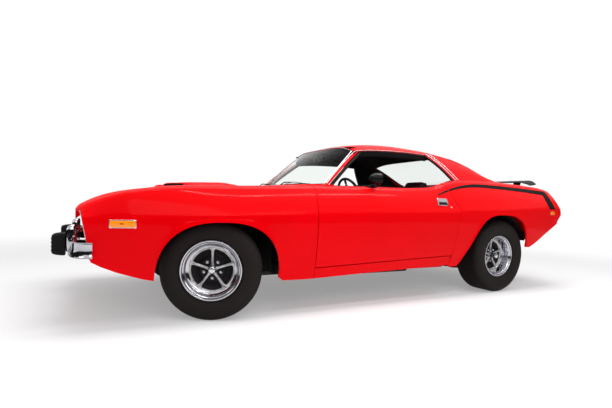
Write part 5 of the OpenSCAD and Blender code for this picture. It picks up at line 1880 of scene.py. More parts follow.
lid = bar(-88, 88, 60, 400, 534, 556, 9, 3)
make("console_body", console_part(), plastic_black, "body", sharp=50, outward=True)
make("console_lid", lid, vinyl_black, "body")
gate = bar(-52, 52, -180, -40, 518, 526, 3)
lever = tube([Vector(at(x, y, z)) for x, y, z in ((0, -112, 520), (4, -106, 570), (8, -92, 620))], [6, 5.5, 5], 14)
grip = moved(lathe([(0.01, 26), (8, 25), (14, 20), (18, 8), (18.5, 0), (16, -12), (10, -20), (0.01, -24)], 32),
             Matrix.Translation(at(9, -90, 632)) @ Matrix.Rotation(-math.pi / 2, 4, "Y"))
make("shift_gate", merge(gate, lever), chrome, "body")
make("shift_knob", grip, gloss_black, "body", outward=True)
pads, arms = [], []
for x, wide, z in ((470, 28, 400), (385, 62, 415), (275, 36, 360)):
    pads.append(bar(x - wide / 2, x + wide / 2, -704, -694, z - (60 if wide == 36 else 26), z + 26, 3))
    arms.append(tube([Vector(at(x, y, h)) for y, h in ((-700, z), (-722, z + 60), (-716, 560), (-690, 690))], 6, 10))
make("pedal_pads", merge(*pads), rubber_block, "body")
make("pedal_arms", merge(*arms), satin_black, "body", outward=True)
print("console and pedals made")

# %% [markdown]
# Door cards are vinyl with upright pleats, an arm rest, a pull handle and a window crank. They ride on the
# doors. Sun visors and the inner mirror hang from the header.

# %% Door cards
def door_card():
    rows = []
    for r in range(34):
        t = r / 33
        row = []
        for k in range(121):
            y = mix(-690, mix(560, 628, step(370, 700, mix(356, 880, t))), k / 120)
            z = mix(door_low(max(y, -700)) + 26, curve(CREST, y, 2) - 52, t)
            pleat = 3.2 * abs(math.sin(math.pi * (y + 690) / 62)) ** 0.6 if 430 < z < 610 else 0
            edge = min(1, min(k, 120 - k) / 3, min(r, 33 - r) / 2)
            row.append(at(785 - 5 * edge - pleat * edge, y, z))
        rows.append(row)
    back = [[at(786.2, p[1] / MM - MIDDLE_Y, p[2] / MM) for p in row] for row in rows]
    return thick(rows, back)


def arm_rest():
    loops = []
    for y, deep, high in ((-60, 8, 10), (-52, 30, 30), (-20, 46, 40), (120, 52, 44), (300, 52, 44),
                          (352, 40, 36), (362, 10, 12)):
        loops.append([at(783 - max(0, deep * (0.5 + 0.5 * math.copysign(abs(math.cos(a)) ** 0.6, math.cos(a)))), y,
                         640 + high / 2 * math.copysign(abs(math.sin(a)) ** 0.6, math.sin(a)))
                      for a in around(24)])
    return loft(loops)


def crank():
    boss = moved(lathe([(0.01, 16), (12, 15), (18, 8), (20, 0), (0.01, 0)], 28),
                 Matrix.Translation(at(781, 40, 560)) @ Matrix.Rotation(math.pi, 4, "Z"))
    arm = tube([Vector(at(768, 40 + d, 560 - 0.4 * d)) for d in (0, 40, 82, 100)], [7, 6, 6, 5], 12)
    knob_part = moved(lathe([(0.01, 30), (8, 29), (11, 22), (9, 6), (6, 0), (0.01, 0)], 24),
                      Matrix.Translation(at(768, 138, 521)) @ Matrix.Rotation(math.pi, 4, "Z"))
    pull = tube([Vector(at(*p)) for p in ((783, -330, 690), (762, -322, 690), (760, -270, 692),
                                          (762, -216, 694), (783, -208, 694))],
                [5, 6, 7, 6, 5], 12)
    strip = bar(777, 782, -660, 560, 616, 622, 1.5)
    return merge(boss, arm, knob_part, pull, strip)


card, rest, bright = door_card(), arm_rest(), crank()
for side, flip in SIDES:
    make(f"{side}_door_card", flip(card), vinyl_black, f"{side}_door", sharp=60, outward=True)
    make(f"{side}_arm_rest", flip(rest), vinyl, f"{side}_door", sharp=60, outward=True)
    make(f"{side}_door_crank", flip(bright), chrome, f"{side}_door", outward=True)
visors = both(bar(90, 520, -255, -120, 1284, 1296, 6, 3))
make("sun_visors", visors, lining, "body")
mirror_pod = loft([[at(x * s, -262 + y, 1232 + z * s) for x, z in
                    [(105 * math.copysign(abs(math.cos(a)) ** 0.5, math.cos(a)),
                      26 * math.copysign(abs(math.sin(a)) ** 0.7, math.sin(a)))
                     for a in around(32)]] for s, y in ((0.2, -14), (0.8, -12), (1, -4), (1, 3))])
mirror_arm = tube([Vector(at(0, y, z)) for y, z in ((-270, 1236), (-282, 1262), (-276, 1300))], [5, 5, 8], 12)
make("cabin_mirror", merge(mirror_pod, mirror_arm), gloss_black, "body", outward=True)
print("cabin trim made")

# %% [markdown]
# Seats are foam under vinyl. Each pad starts as a slightly small closed form. It is remeshed, swelled by
# air pressure in a cloth simulation with a cap on how far any point may move, then sewn: channels are
# pressed in along their lines and piping is laid on the edge.

# %% Padded upholstery
def rounded_loop(half_a, half_b, power, n=40):
    return [(half_a * math.copysign(abs(math.cos(t)) ** (2 / power), math.cos(t)),
             half_b * math.copysign(abs(math.sin(t)) ** (2 / power), math.sin(t)))
            for t in [2 * math.pi * (k + 0.5) / n for k in range(n)]]


def swell(name, part, voxel, cap, pressure=4.0):
    """Remesh a closed form, blow it up as cloth, and limit how far each point went."""
    work = bmesh.new()
    mesh = bpy.data.meshes.new(name + "_form")
    mesh.from_pydata([tuple(p) for p in part[0]], [], part[1])
    work.from_mesh(mesh)
    bmesh.ops.remove_doubles(work, verts=work.verts[:], dist=1e-6)
    bmesh.ops.recalc_face_normals(work, faces=work.faces[:])
    work.to_mesh(mesh)
    work.free()
    form = bpy.data.objects.new(name + "_form", mesh)
    scene = bpy.context.scene
    scene.collection.objects.link(form)
    m = form.modifiers.new("voxels", "REMESH")
    m.mode, m.voxel_size = "VOXEL", voxel * MM
    start = bpy.data.meshes.new_from_object(form.evaluated_get(bpy.context.evaluated_depsgraph_get()))
    form.modifiers.clear()
    form.data = start
    rest_place = [v.co.copy() for v in start.vertices]
    moved_place = rest_place
    cloth = form.modifiers.new("cloth", "CLOTH")
    cloth.settings.use_pressure = True
    cloth.settings.uniform_pressure_force = pressure
    cloth.settings.effector_weights.gravity = 0
    cloth.point_cache.frame_start, cloth.point_cache.frame_end = 1, 20
    for frame_number in range(1, 21):
        scene.frame_set(frame_number)
    now = form.evaluated_get(bpy.context.evaluated_depsgraph_get()).to_mesh()
    moved_place = [v.co.copy() for v in now.vertices]
    form.modifiers.clear()
    scene.frame_set(1)
    points = []
    for a, b in zip(rest_place, moved_place):
        d = b - a
        points.append(a + d * min(1.0, cap * MM / max(d.length, 1e-9)))
    faces = [tuple(p.vertices) for p in start.polygons]
    bpy.data.objects.remove(form)
    return points, faces


def sewn(part, seams, depth=4.5, width=7.0):
    """Press channels into a pad along seam lines given as lists of points."""
    tree = BVHTree.FromPolygons([tuple(p) for p in part[0]], part[1])
    lines = []
    for seam in seams:
        lines.append([tree.find_nearest(Vector(p))[0] for p in seam])
    points = []
    flat = [(a, b) for line in lines for a, b in zip(line, line[1:])]
    for p in part[0]:
        best = 1e9
        for a, b in flat:
            ab = b - a
            t = max(0.0, min(1.0, (p - a).dot(ab) / max(ab.length_squared, 1e-12)))
            d = (a + ab * t - p).length
            if d < best:
                best = d
        if best < width * MM * 2.5:
            normal = tree.find_nearest(p)[1]
            p = p - normal * depth * MM * math.exp(-(best / (width * MM)) ** 2)
        points.append(p)
    return points, part[1]


def piping(part, line, radius=3.2):
    tree = BVHTree.FromPolygons([tuple(p) for p in part[0]], part[1])
    pts = []
    for p in line:
        spot, normal, _, _ = tree.find_nearest(Vector(p))
        pts.append(spot + normal * radius * 0.4 * MM)
    return tube(pts, radius, 8, closed=True)


def seat_cushion():
    loops = []
    stations = [(-44, 0.80, 398, 32), (-34, 0.93, 396, 48), (10, 1.0, 392, 54), (150, 1.0, 384, 52),
                (330, 0.99, 374, 52),
                (430, 0.96, 370, 50), (462, 0.9, 370, 42), (470, 0.8, 370, 30)]
    for y, wide, mid, high in stations:
        loop = []
        for x, z in rounded_loop(222 * wide, high, 4):
            dish = -16 * (1 - (x / 222) ** 2) if z > 0 and 0 < y < 440 else 0
            loop.append(at(385 + x, y, mid + z + dish))
        loops.append(loop)
    return loft(loops)


def seat_back():
    loops = []
    stations = [(0.0, 200, 30), (0.03, 216, 44), (0.12, 224, 50), (0.35, 224, 50), (0.58, 214, 47),
                (0.70, 190, 43), (0.76, 160, 40),
                (0.84, 138, 38), (0.93, 136, 36), (0.98, 124, 30), (1.0, 108, 22)]
    for t, wide, deep in stations:
        cy, cz = mix(538, 634, t), mix(408, 1056, t)
        lean_y, lean_z = 0.146, 0.989
        loop = []
        for x, d in rounded_loop(wide, deep, 3.6):
            hollow = 14 * (1 - (x / wide) ** 2) if d < 0 and 0.08 < t < 0.66 else 0
            loop.append(at(385 + x, cy + (d + hollow) * lean_z, cz - (d + hollow) * lean_y))
        loops.append(loop)
    return loft(loops)


def seat_base():
    pan = loft([[at(385 + x, 210 + y, z) for x, y in rounded_loop(wide, long, 7)] for wide, long, z in
                ((176, 220, 293), (186, 236, 300), (212, 252, 344), (214, 254, 352))])
    back_shell = loft([[at(385 + x, mix(551, 646, t) + d, mix(420, 1044, t)) for x, d in rounded_loop(w, 26, 4)]
                       for t, w in ((0, 196), (0.1, 214), (0.5, 208), (0.68, 178), (0.78, 138), (0.95, 122), (1, 100))])
    return merge(pan, moved(back_shell, Matrix.Translation((0, 0.022, -0.004))))


cushion_seams = [[at(385 + x, y, 450) for y in range(30, 431, 20)] for x in (-110, -66, -22, 22, 66, 110)]
cushion_edge = [at(385 + x, 212 + y, 446) for x, y in rounded_loop(140, 212, 5, 72)]
back_seams = [[at(385 + x, mix(492, 552, t), mix(470, 830, t)) for t in [k / 16 for k in range(17)]]
              for x in (-110, -66, -22, 22, 66, 110)]
back_edge = [at(385 + x, mix(500, 550, 0.5 + z / 380), 652 + z) for x, z in rounded_loop(136, 190, 5, 72)]
cushion = swell("cushion", seat_cushion(), 7, 12)
cushion = sewn(cushion, cushion_seams + [cushion_edge + cushion_edge[:1]])
back = swell("seat_back", seat_back(), 7, 12)
back = sewn(back, back_seams + [back_edge + back_edge[:1]])
welts = merge(piping(cushion, cushion_edge), piping(back, back_edge))
base = seat_base()
for side, shift in (("left", 0.0), ("right", -0.77)):
    slide = Matrix.Translation((shift, 0, 0))
    for name, part in (("seat_cushion", cushion), ("seat_back", back)):
        pad = make(f"{side}_{name}", moved(part, slide), vinyl, "body", sharp=180,
                   replaces=["front_seats"] if name == "seat_cushion" else [])
    make(f"{side}_seat_piping", moved(welts, slide), vinyl_black, "body", outward=True)
    make(f"{side}_seat_shell", moved(base, slide), plastic_black, "body", sharp=50, outward=True)
print("front pads", len(cushion[0]), len(back[0]))

# %% [markdown]
# The rear bench has the same vinyl, with a shallow dish for each passenger.

# %% Rear bench
def bench(stations):
    loops = []
    for x in [-548, -542, -500, -400, -275, -150, -40, 0, 40, 150, 275, 400, 500, 542, 548]:
        dish = 10 * math.exp(-((abs(x) - 275) / 130) ** 2)
        end = 0.78 if abs(x) == 548 else 0.93 if abs(x) == 542 else 1.0
        loops.append([at(x, *stations(c, s, end, dish)) for c, s in rounded_loop(1, 1, 4, 36)])
    return loft(loops)


def bench_cushion(c, s, end, dish):
    return 884 + c * 96 * end, 560 + s * 44 * end - (dish if s > 0 else 0)


def bench_back(c, s, end, dish):
    t = (s + 1) / 2
    return 948 + mix(-6, 18, t) + c * 34 * end + (dish if c < 0 else 0), 818 + s * 164 * end


bench_low = swell("bench_low", bench(bench_cushion), 8, 10)
bench_low = sewn(bench_low, [[at(x, y, 612) for y in range(800, 976, 16)] for x in
                             (-440, -385, -330, -275, -220, -165, -110, 110, 165, 220, 275, 330, 385, 440)])
bench_high = swell("bench_high", bench(bench_back), 8, 10)
bench_high = sewn(bench_high, [[at(x, 905, z) for z in range(690, 951, 20)] for x in
                               (-440, -385, -330, -275, -220, -165, -110, 110, 165, 220, 275, 330, 385, 440)])
for name, part, gone in (("rear_bench_cushion", bench_low, ["rear_seat"]), ("rear_bench_back", bench_high, [])):
    pad = make(name, part, vinyl, "body", sharp=180, replaces=gone)
print("rear pads", len(bench_low[0]), len(bench_high[0]))

# %% [markdown]
# The tail is a shallow red trough with a bright-edged blank panel, long lamps with ribs, a slim bumper and
# two exhaust tips. The plate pocket is left bare.

# %% Tail panel, lamps and rear bumper
TAIL_LINE = [(2195, 562), (2234, 630), (2271, 700), (2282, 745), (2289.5, 798), (2280, 818), (2262, 841), (2236, 880),
             (2200, 938), (2166, 996), (2158, 1004), (2150, 1000)]


def inside_quarter(y, z):
    """Half the width between the quarter panels at a point of the tail, just inside their skin."""
    for back in range(30, 200, 10):
        hit = SKIN.ray_cast(Vector(at(1500, y - back, z)), Vector((-1, 0, 0)))[0]
        if hit is not None and hit.x > 0.7:
            return hit.x / MM - 11
    return 742


def tail_skin():
    line = smooth_chain(TAIL_LINE, 4)
    halves = [min(inside_quarter(y, z), mix(716, 862, step(540, 800, z))) for y, z in line]
    loops = []
    for k in range(81):
        x = mix(-1, 1, k / 80)
        rows = []
        for (y, z), half in zip(line, halves):
            rows.append(at(x * half, y - 26 * abs(x) ** 5, z))
        loops.append(rows)
    return thick(loops, [[(px, py - 0.012, pz - 0.002) for px, py, pz in row] for row in loops])


make("tail_skin", tail_skin(), paint_red, "body", sharp=45, outward=True, replaces=["tail_panels"])
tulip = [[(u * (curve(EDGE, max(y, 1500), 1) - 7 if y > 1440 else 664), y,
           curve(EDGE, max(y, 1500), 2) + 8 * (1 - u * u) - 1)
          for y in spaced(1438, 1528, 8)] for u in spaced(1, -1, 40)]
make("deck_front_panel", thick(placed(tulip), placed([[(x, y, z - 9) for x, y, z in row] for row in tulip])), paint_red,
     "body", bevel=2)
lamp_line = [(2274, 716), (2284, 752), (2292, 798), (2301, 796), (2303, 790), (2296, 752), (2287, 718), (2282, 714)]
lamp_body = both(loft([[at(x, y, z) for y, z in lamp_line] for x in spaced(424, 756, 10)]))
lamp_ribs = repeated(loft([[at(424 + o, y + 2.2, z) for y, z in lamp_line[3:7]] + [at(424 + o, y - 6, z) for y, z in
                                                                                  reversed(lamp_line[3:7])] for o in (0, 5)]),
                     21, step_by=(0.01635, 0, 0), material=ruby_lens)
make("tail_lamp_lenses", merge(lamp_body, both(lamp_ribs)), ruby_lens, "body", sharp=30, outward=True,
     replaces=["tail_lights"])
backup = both(bar(352, 412, 2278, 2296, 722, 788, 4))
make("reversing_lamps", backup, lamp_glass, "body")
rim_pts = [(346, 2280, 714), (346, 2294, 756), (346, 2299, 800), (560, 2299, 801), (762, 2296, 799),
           (764, 2290, 756), (763, 2281, 714),
           (560, 2281, 711)]
rim_line = smooth_chain(rim_pts + rim_pts[:1], 8)[:-1]
make("tail_lamp_rims", both(tube([Vector(at(*p)) for p in rim_line], 4.5, 8, closed=True)), stainless, "body",
     outward=True)
plate_pocket = bar(-168, 168, 2270, 2292, 676, 824, 4)
make("blank_plate_panel", plate_pocket, satin_black, "body")
bolts = [moved(lathe([(0.01, 5), (4.5, 5), (6, 3.5), (6.5, 0), (0.01, 0)], 12),
               Matrix.Translation(at(x, 2292, z)) @ Matrix.Rotation(math.pi / 2, 4, "Z")) for x in (-88.9, 88.9)
         for z in (689.7, 810.3)]
make("plate_bolts", merge(*bolts), stainless, "body", outward=True)
rear_half = [(0, 2388), (260, 2388), (480, 2384), (600, 2374), (660, 2356), (694, 2332), (704, 2296)]
rear_section = [(18, 601), (6, 602), (-1, 608), (-4, 620), (-5, 640), (-4, 660), (-1, 672), (6, 678), (18, 679),
                (18, 675),
                (8, 672), (3, 660), (2, 640), (3, 620), (8, 608), (18, 605)]
rear_blade = blade(mirrored_path(rear_half), rear_section)
irons = both(bar(505, 555, 2240, 2376, 618, 634, 4))
rubber_strip = bar(-560, 560, 2391, 2395.5, 630, 650, 2)
make("rear_bumper_blade", rear_blade, chrome, "body", sharp=50, outward=True, replaces=["rear_bumper"])
make("rear_bumper_irons", irons, satin_black, "body")
make("rear_bumper_strip", rubber_strip, rubber_block, "body")
print("tail points", len(rear_blade[0]))

# %% [markdown]
# Under the windshield a black cowl grille lets air in and two wipers are parked. Each wiper is an arm, a
# bridge and a rubber blade lying on the glass.

# %% Cowl and wipers
cowl_rows = [[at(x, y - 22 * (1 - (x / 722) ** 2) * (y < -560), z + 10 * (1 - (x / 722) ** 2)) for y, z in
              ((-770, 906), (-771, 930), (-764, 934), (-735, 937), (-700, 941), (-620, 945), (-540, 948), (-512, 950))]
             for x in spaced(-722, 722, 48)]
make("cowl_top", thick(cowl_rows, [[(x, y + 0.004, z - 0.01) for x, y, z in row] for row in cowl_rows]),
     paint_red, "body",
     sharp=50, outward=True, replaces=["cowl_panel"])
slot = bar(-9, 9, -735, -650, 943, 953, 2)
slots = repeated(moved(slot, Matrix.Translation((-0.585, 0, 0))), 27, step_by=(0.045, 0, 0), material=satin_black)
make("cowl_slots", slots, satin_black, "body")


def wiper(x):
    hinge = Vector(at(x, -668, 962))
    tip = Vector(at(x + 330, -628, 962))
    arm = tube([hinge, hinge + Vector((0.05, 0.006, 0.018)), hinge.lerp(tip, 0.6) + Vector((0, 0, 0.014))],
               [6, 5, 3], 8)
    bridge = tube([hinge.lerp(tip, 0.22) + Vector((0, 0, 0.004)), hinge.lerp(tip, 0.6) + Vector((0, 0, 0.015)),
                   tip + Vector((0, 0, 0.004))], [2.4, 3.4, 2.4], 8)
    rubber = tube([hinge.lerp(tip, t) + Vector((0, 0.002, -0.002)) for t in (0.18, 0.5, 1.02)], [3, 3, 3], 6)
    spindle = moved(lathe([(0.01, 16), (9, 15), (11, 8), (12, 0), (0.01, 0)], 20),
                    Matrix.Translation(hinge - Vector((0, 0, 0.01))) @ Matrix.Rotation(-math.pi / 2, 4, "Y"))
    return merge(arm, bridge, spindle), rubber


wiper_arms, wiper_rubbers = zip(wiper(-480), wiper(60))
make("wiper_arms", merge(*wiper_arms), satin_black, "body", outward=True)
make("wiper_rubbers", merge(*wiper_rubbers), rubber_block, "body", outward=True)
print("cowl made")

# %% [markdown]
# Under the hood stands a V-eight: a block with two banks, finned covers, manifolds, a round air cleaner, belts
# and a radiator. The solid engine block of the part is kept inside these shells.

# %% Engine bay
def bank(side):
    turn = Matrix.Translation(at(side * 175, 0, 655)) @ Matrix.Rotation(side * math.radians(38), 4, "Y")
    cover = bar(-62, 62, -1630, -1190, 60, 128, 16, 3)
    ribs = repeated(bar(-40, 40, -1612, -1606, 126, 133, 2), 9, step_by=(0, 0.05, 0), material=gloss_black)
    head = bar(-78, 78, -1640, -1180, -40, 60, 8)
    return moved(merge(cover, ribs), turn), moved(head, turn)


covers, heads = zip(bank(1), bank(-1))
block_part = merge(bar(-190, 190, -1650, -1150, 400, 640, 20, 3), bar(-150, 150, -1600, -1200, 332, 400, 14, 3), *heads)
make("engine_castings", block_part, engine_paint, "body", replaces=["engine"])
make("valve_covers", merge(*covers), gloss_black, "body")
gearbox = lathe([(0.01, -1072), (104, -1072), (106, -1050), (92, -900), (70, -820), (66, -600), (50, -560),
                 (48, -424), (0.01, -424)], 40)
box_pose = Matrix.Translation((0, MIDDLE_Y * MM, 0.355)) @ Matrix.Rotation(math.pi / 2, 4, "Z")
make("gearbox_shell", moved(gearbox, box_pose), alloy, "body", outward=True)
intake = merge(bar(-95, 95, -1600, -1220, 690, 742, 14, 3), bar(-60, 60, -1470, -1330, 742, 790, 8))
make("intake_manifold", intake, alloy, "body")
cleaner = moved(lathe([(0.01, 62), (20, 62), (60, 58), (165, 54), (178, 50), (180, 44), (178, 12), (150, 2),
                       (60, 0), (0.01, 0)], 64),
                Matrix.Translation(at(0, -1400, 772)) @ Matrix.Rotation(-math.pi / 2, 4, "Y"))
wing_nut = moved(lathe([(0.01, 18), (7, 17), (9, 10), (12, 0), (0.01, 0)], 20),
                 Matrix.Translation(at(0, -1400, 832)) @ Matrix.Rotation(-math.pi / 2, 4, "Y"))
make("air_cleaner", merge(cleaner, wing_nut), chrome, "body", outward=True)


def pulley(x, z, r, y):
    rim_line = [(0.01, 14), (r * 0.3, 14), (r * 0.4, 6), (r * 0.85, 6), (r, 14), (r - 6, 8), (r - 6, 4),
                (r, -2), (0.01, -2)]
    return moved(lathe(rim_line, 40), Matrix.Translation(at(x, y, z)) @ Matrix.Rotation(-math.pi / 2, 4, "Z"))


pulleys = merge(pulley(0, 470, 85, -1680), pulley(0, 650, 70, -1680), pulley(190, 700, 42, -1680),
                pulley(-190, 660, 52, -1680))
fan = repeated(moved(loft([[(0.0, -0.03, 0.06), (0.0, 0.03, 0.06), (0.002, 0.03, 0.06), (0.002, -0.03, 0.06)],
                           [(0.012, -0.045, 0.2), (-0.014, 0.045, 0.2), (-0.012, 0.045, 0.2), (0.014, -0.045, 0.2)]]),
                     Matrix()), 6, 2 * math.pi / 6, material=satin_black)
fan_pose = Matrix.Translation(at(0, -1725, 620)) @ Matrix.Rotation(-math.pi / 2, 4, "Z")
make("engine_pulleys", pulleys, satin_black, "body", outward=True)
make("cooling_fan", moved(fan, fan_pose), satin_black, "body")
belt_line = [Vector(at(x, -1689, z)) for x, z in ((-80, 455), (-66, 430), (0, 388), (66, 430), (84, 470),
                                                  (226, 690), (232, 706), (222, 728),
                                                 (196, 740), (0, 718), (-186, 708), (-228, 690), (-236, 662),
                                                 (-222, 628))]
make("fan_belts", tube(belt_line, 5, 6, closed=True), rubber_block, "body", outward=True)
radiator = bar(-330, 330, -2110, -2062, 440, 776, 6)
fins = repeated(bar(-318, 318, -2062, -2059, 470, 472.5, 0.8), 24, step_by=(0, 0, 0.0118), material=satin_black)
tanks = merge(bar(-322, 322, -2108, -2052, 756, 790, 12, 3), bar(-322, 322, -2108, -2052, 432, 462, 10, 3))
make("radiator_core", merge(radiator, fins), satin_black, "body")
make("radiator_tanks", tanks, gloss_black, "body")
hoses = merge(tube([Vector(at(*p)) for p in smooth_chain([(120, -2056, 770), (118, -1960, 772),
                                                          (60, -1840, 740), (30, -1640, 728)], 8)], 19, 14),
              tube([Vector(at(*p)) for p in smooth_chain([(-220, -2056, 470), (-210, -1940, 470),
                                                          (-90, -1800, 520), (-60, -1660, 560)], 8)], 21, 14))
make("radiator_hoses", hoses, rubber_block, "body", outward=True)
battery = merge(bar(395, 555, -2010, -1790, 560, 745, 6), bar(420, 450, -1985, -1955, 745, 758, 4),
                bar(500, 530, -1985, -1955, 745, 758, 4))
tray = bar(385, 565, -2020, -1780, 545, 560, 3)
make("battery_case", merge(battery, tray), plastic_black, "body")
make("brake_booster", merge(moved(lathe([(0.01, 100), (58, 98), (98, 74), (100, 2), (0.01, 2)], 40),
                                  Matrix.Translation(at(350, -822, 730)) @ Matrix.Rotation(-math.pi / 2, 4, "Z")),
                            bar(320, 380, -1010, -915, 712, 770, 8)), iron, "body", outward=True)


def header_pipe(side, y):
    return tube([Vector(at(side * x, y + dy, z)) for x, dy, z in
                 smooth_chain([(262, 0, 600), (300, 6, 580), (322, 20, 530), (318, 60, 440), (302, 160, 340)],
                              4)], 18, 10)


headers = merge(*[header_pipe(side, y) for side in (-1, 1) for y in (-1600, -1480, -1360, -1240)])
collector = both(tube([Vector(at(*p)) for p in smooth_chain([(302, -1440, 330), (304, -1240, 300),
                                                             (302, -1080, 240), (300, -990, 215)], 6)], 30, 14))
make("exhaust_headers", merge(headers, collector), pipe_steel, "body", outward=True)
print("engine bay made")

# %% [markdown]
# Seen from below: the floor, rails, tubs, tank and springs keep their CAD shapes and get sprayed underseal,
# forged iron and cast finishes. Dampers, spring leaves, brakes and pipe tips are added where they show.

# %% Underside and running gear
def finish(node, *materials):
    """Gives a CAD node's slots the scene's own materials, in order."""
    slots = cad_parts[node].material_slots
    for i, slot_of_node in enumerate(slots):
        slot_of_node.material = materials[min(i, len(materials) - 1)]


for node in ("underbody", "trunk_tub"):
    finish(node, underseal)
for node in ("front_suspension", "rear_suspension"):
    finish(node, iron)
for node in ("left_front_knuckle", "right_front_knuckle"):
    finish(node, iron)
finish("exhaust", pipe_steel)
finish("fuel_tank", satin_black)


def upright(x, y, z0, z1, profile, tilt=0.0, count=24):
    """A turned part standing from z0 to z1; its profile is (radius, share of the height)."""
    tall = z1 - z0
    return moved(lathe([(r, tall * s) for r, s in profile], count), Matrix.Translation(at(x, y, z0))
                 @ Matrix.Rotation(tilt, 4, "Y") @ Matrix.Rotation(-math.pi / 2, 4, "Y"))


DAMPER = [(0.01, 0), (9, 0), (9, 0.05), (26, 0.07), (26, 0.52), (21, 0.55), (33, 0.56), (33, 0.93), (12, 0.96),
          (9, 1), (0.01, 1)]
front_dampers = both(upright(430, -1472, 330, 640, DAMPER, math.radians(-3)))
rear_dampers = both(upright(400, 1400, 300, 640, DAMPER, math.radians(10)))
make("dampers", merge(front_dampers, rear_dampers), gloss_black, "body", outward=True)
leaves = []
for k in range(4):
    reach = 610 - 130 * k
    rows = []
    for j in range(17):
        y = 1312 + mix(-reach, reach, j / 16)
        sag = 212 - 9 * k + 74 * ((y - 1312) / 640) ** 2
        rows.append([at(x, y, z) for x, z in ((432, sag + 6), (488, sag + 6), (488, sag - 1), (432, sag - 1))])
    leaves.append(loft(rows))
ties = [bar(426, 494, 1312 + o - 8, 1312 + o + 8, 176, 232, 3) for o in (-60, 60)]
make("spring_leaves", both(merge(*leaves)), iron, "body", outward=True)
make("spring_clamps", both(merge(*ties)), satin_black, "body")
ribbed_cover = lathe([(0.01, 62), (40, 60), (84, 44), (104, 18), (112, 14), (112, 0), (0.01, 0)], 36)
cover_pose = Matrix.Translation(at(0, 1312 + 70, 345)) @ Matrix.Rotation(math.pi / 2, 4, "Z")
cover_bolts = repeated(moved(lathe([(0.01, 6), (5, 6), (6, 0), (0.01, 0)], 6), Matrix.Translation((0.014, 0, 0.1))), 10,
                       2 * math.pi / 10, material=stainless)
make("axle_cover", moved(merge(ribbed_cover, cover_bolts), cover_pose), iron, "body", outward=True)
tips = []
for x in (-300, 300):
    tips.append(tube([Vector(at(x, y, z)) for y, z in ((1990, 215), (2060, 215), (2180, 214), (2290, 212))],
                     [30, 31, 31.5, 33], 24))
    tips.append(tube([Vector(at(x, y, z)) for y, z in ((2290, 212), (2286, 212), (2200, 213))], [33, 29, 28.5], 24))
make("exhaust_tips", merge(*tips), chrome, "body", outward=True)
tank_straps = [bar(x - 14, x + 14, 1696, 2174, 326, 329, 1) for x in (-150, 150)]
seam = bar(-262, 262, 1690, 2182, 404, 409, 2)
make("tank_straps", merge(*tank_straps, seam), iron, "body")
crossmember = bar(-655, 655, -965, -868, 250, 334, 14, 3)
bars = both(tube([Vector(at(x, y, z)) for x, y, z in ((330, -1380, 292), (332, -1200, 296), (332, -960, 300))], 13, 12))
shields = both(bar(470, 782, -1052, -1044, 300, 700, 3))
make("splash_shields", shields, underseal, "body")
make("bar_crossmember", crossmember, underseal, "body")
make("torsion_bars", bars, satin_black, "body", outward=True)
print("underside made")

# %% [markdown]
# Brake parts sit behind the front wheels: a vented disc and a caliper that steer with the knuckle.

# %% Front brakes
for side, name in ((1, "left"), (-1, "right")):
    turn = Matrix.Translation((side * KINGPIN * MM, FRONT_Y * MM, FRONT_R * MM)) @ Matrix.Rotation(PARKED, 4, "Z")
    disc_line = [(40, 20), (132, 20), (134, 18), (134, 13), (60, 12), (60, 8), (134, 7), (134, 2), (132, 0), (40, 0)]
    disc = lathe(disc_line, 48, closed=True)
    caliper = bar(-18, 38, -66, 66, 84, 132, 10, 3)
    place_disc = turn @ Matrix.Translation((side * 0.012, 0, 0)) @ Matrix.Scale(side, 4, (1, 0, 0))
    make(f"{name}_brake_disc", moved(disc, place_disc), pipe_steel, f"{name}_knuckle", outward=True)
    unshift = Matrix.Translation((0, -MIDDLE_Y * MM, 0))
    make(f"{name}_brake_caliper", moved(moved(caliper, unshift),
                                        place_disc @ Matrix.Rotation(math.radians(90), 4, "X")),
         iron, f"{name}_knuckle", outward=True)
print("brakes on")

# %% [markdown]
# The car stands on a plain pale floor under soft boxes. The background is white only where the camera looks
# straight at it, or sees it in chrome and glass, so the lamps can stay at a plain level and the red keeps
# its colour. A floor plane carries the soft shadow.

# %% Floor and backdrop
def seen_directly(tree):
    """1 for a ray from the camera, from a mirror-like surface or through glass, else 0."""
    ray = add_node(tree, "ShaderNodeLightPath")
    first = add_node(tree, "ShaderNodeMath", {"operation": "MAXIMUM"},
                     links={0: ray.outputs["Is Camera Ray"], 1: ray.outputs["Is Transmission Ray"]})
    return add_node(tree, "ShaderNodeMath", {"operation": "MAXIMUM"},
                    links={0: first.outputs[0], 1: ray.outputs["Is Glossy Ray"]}).outputs[0]


WHITE_FROM, WHITE_TO = 2.6, 7.5


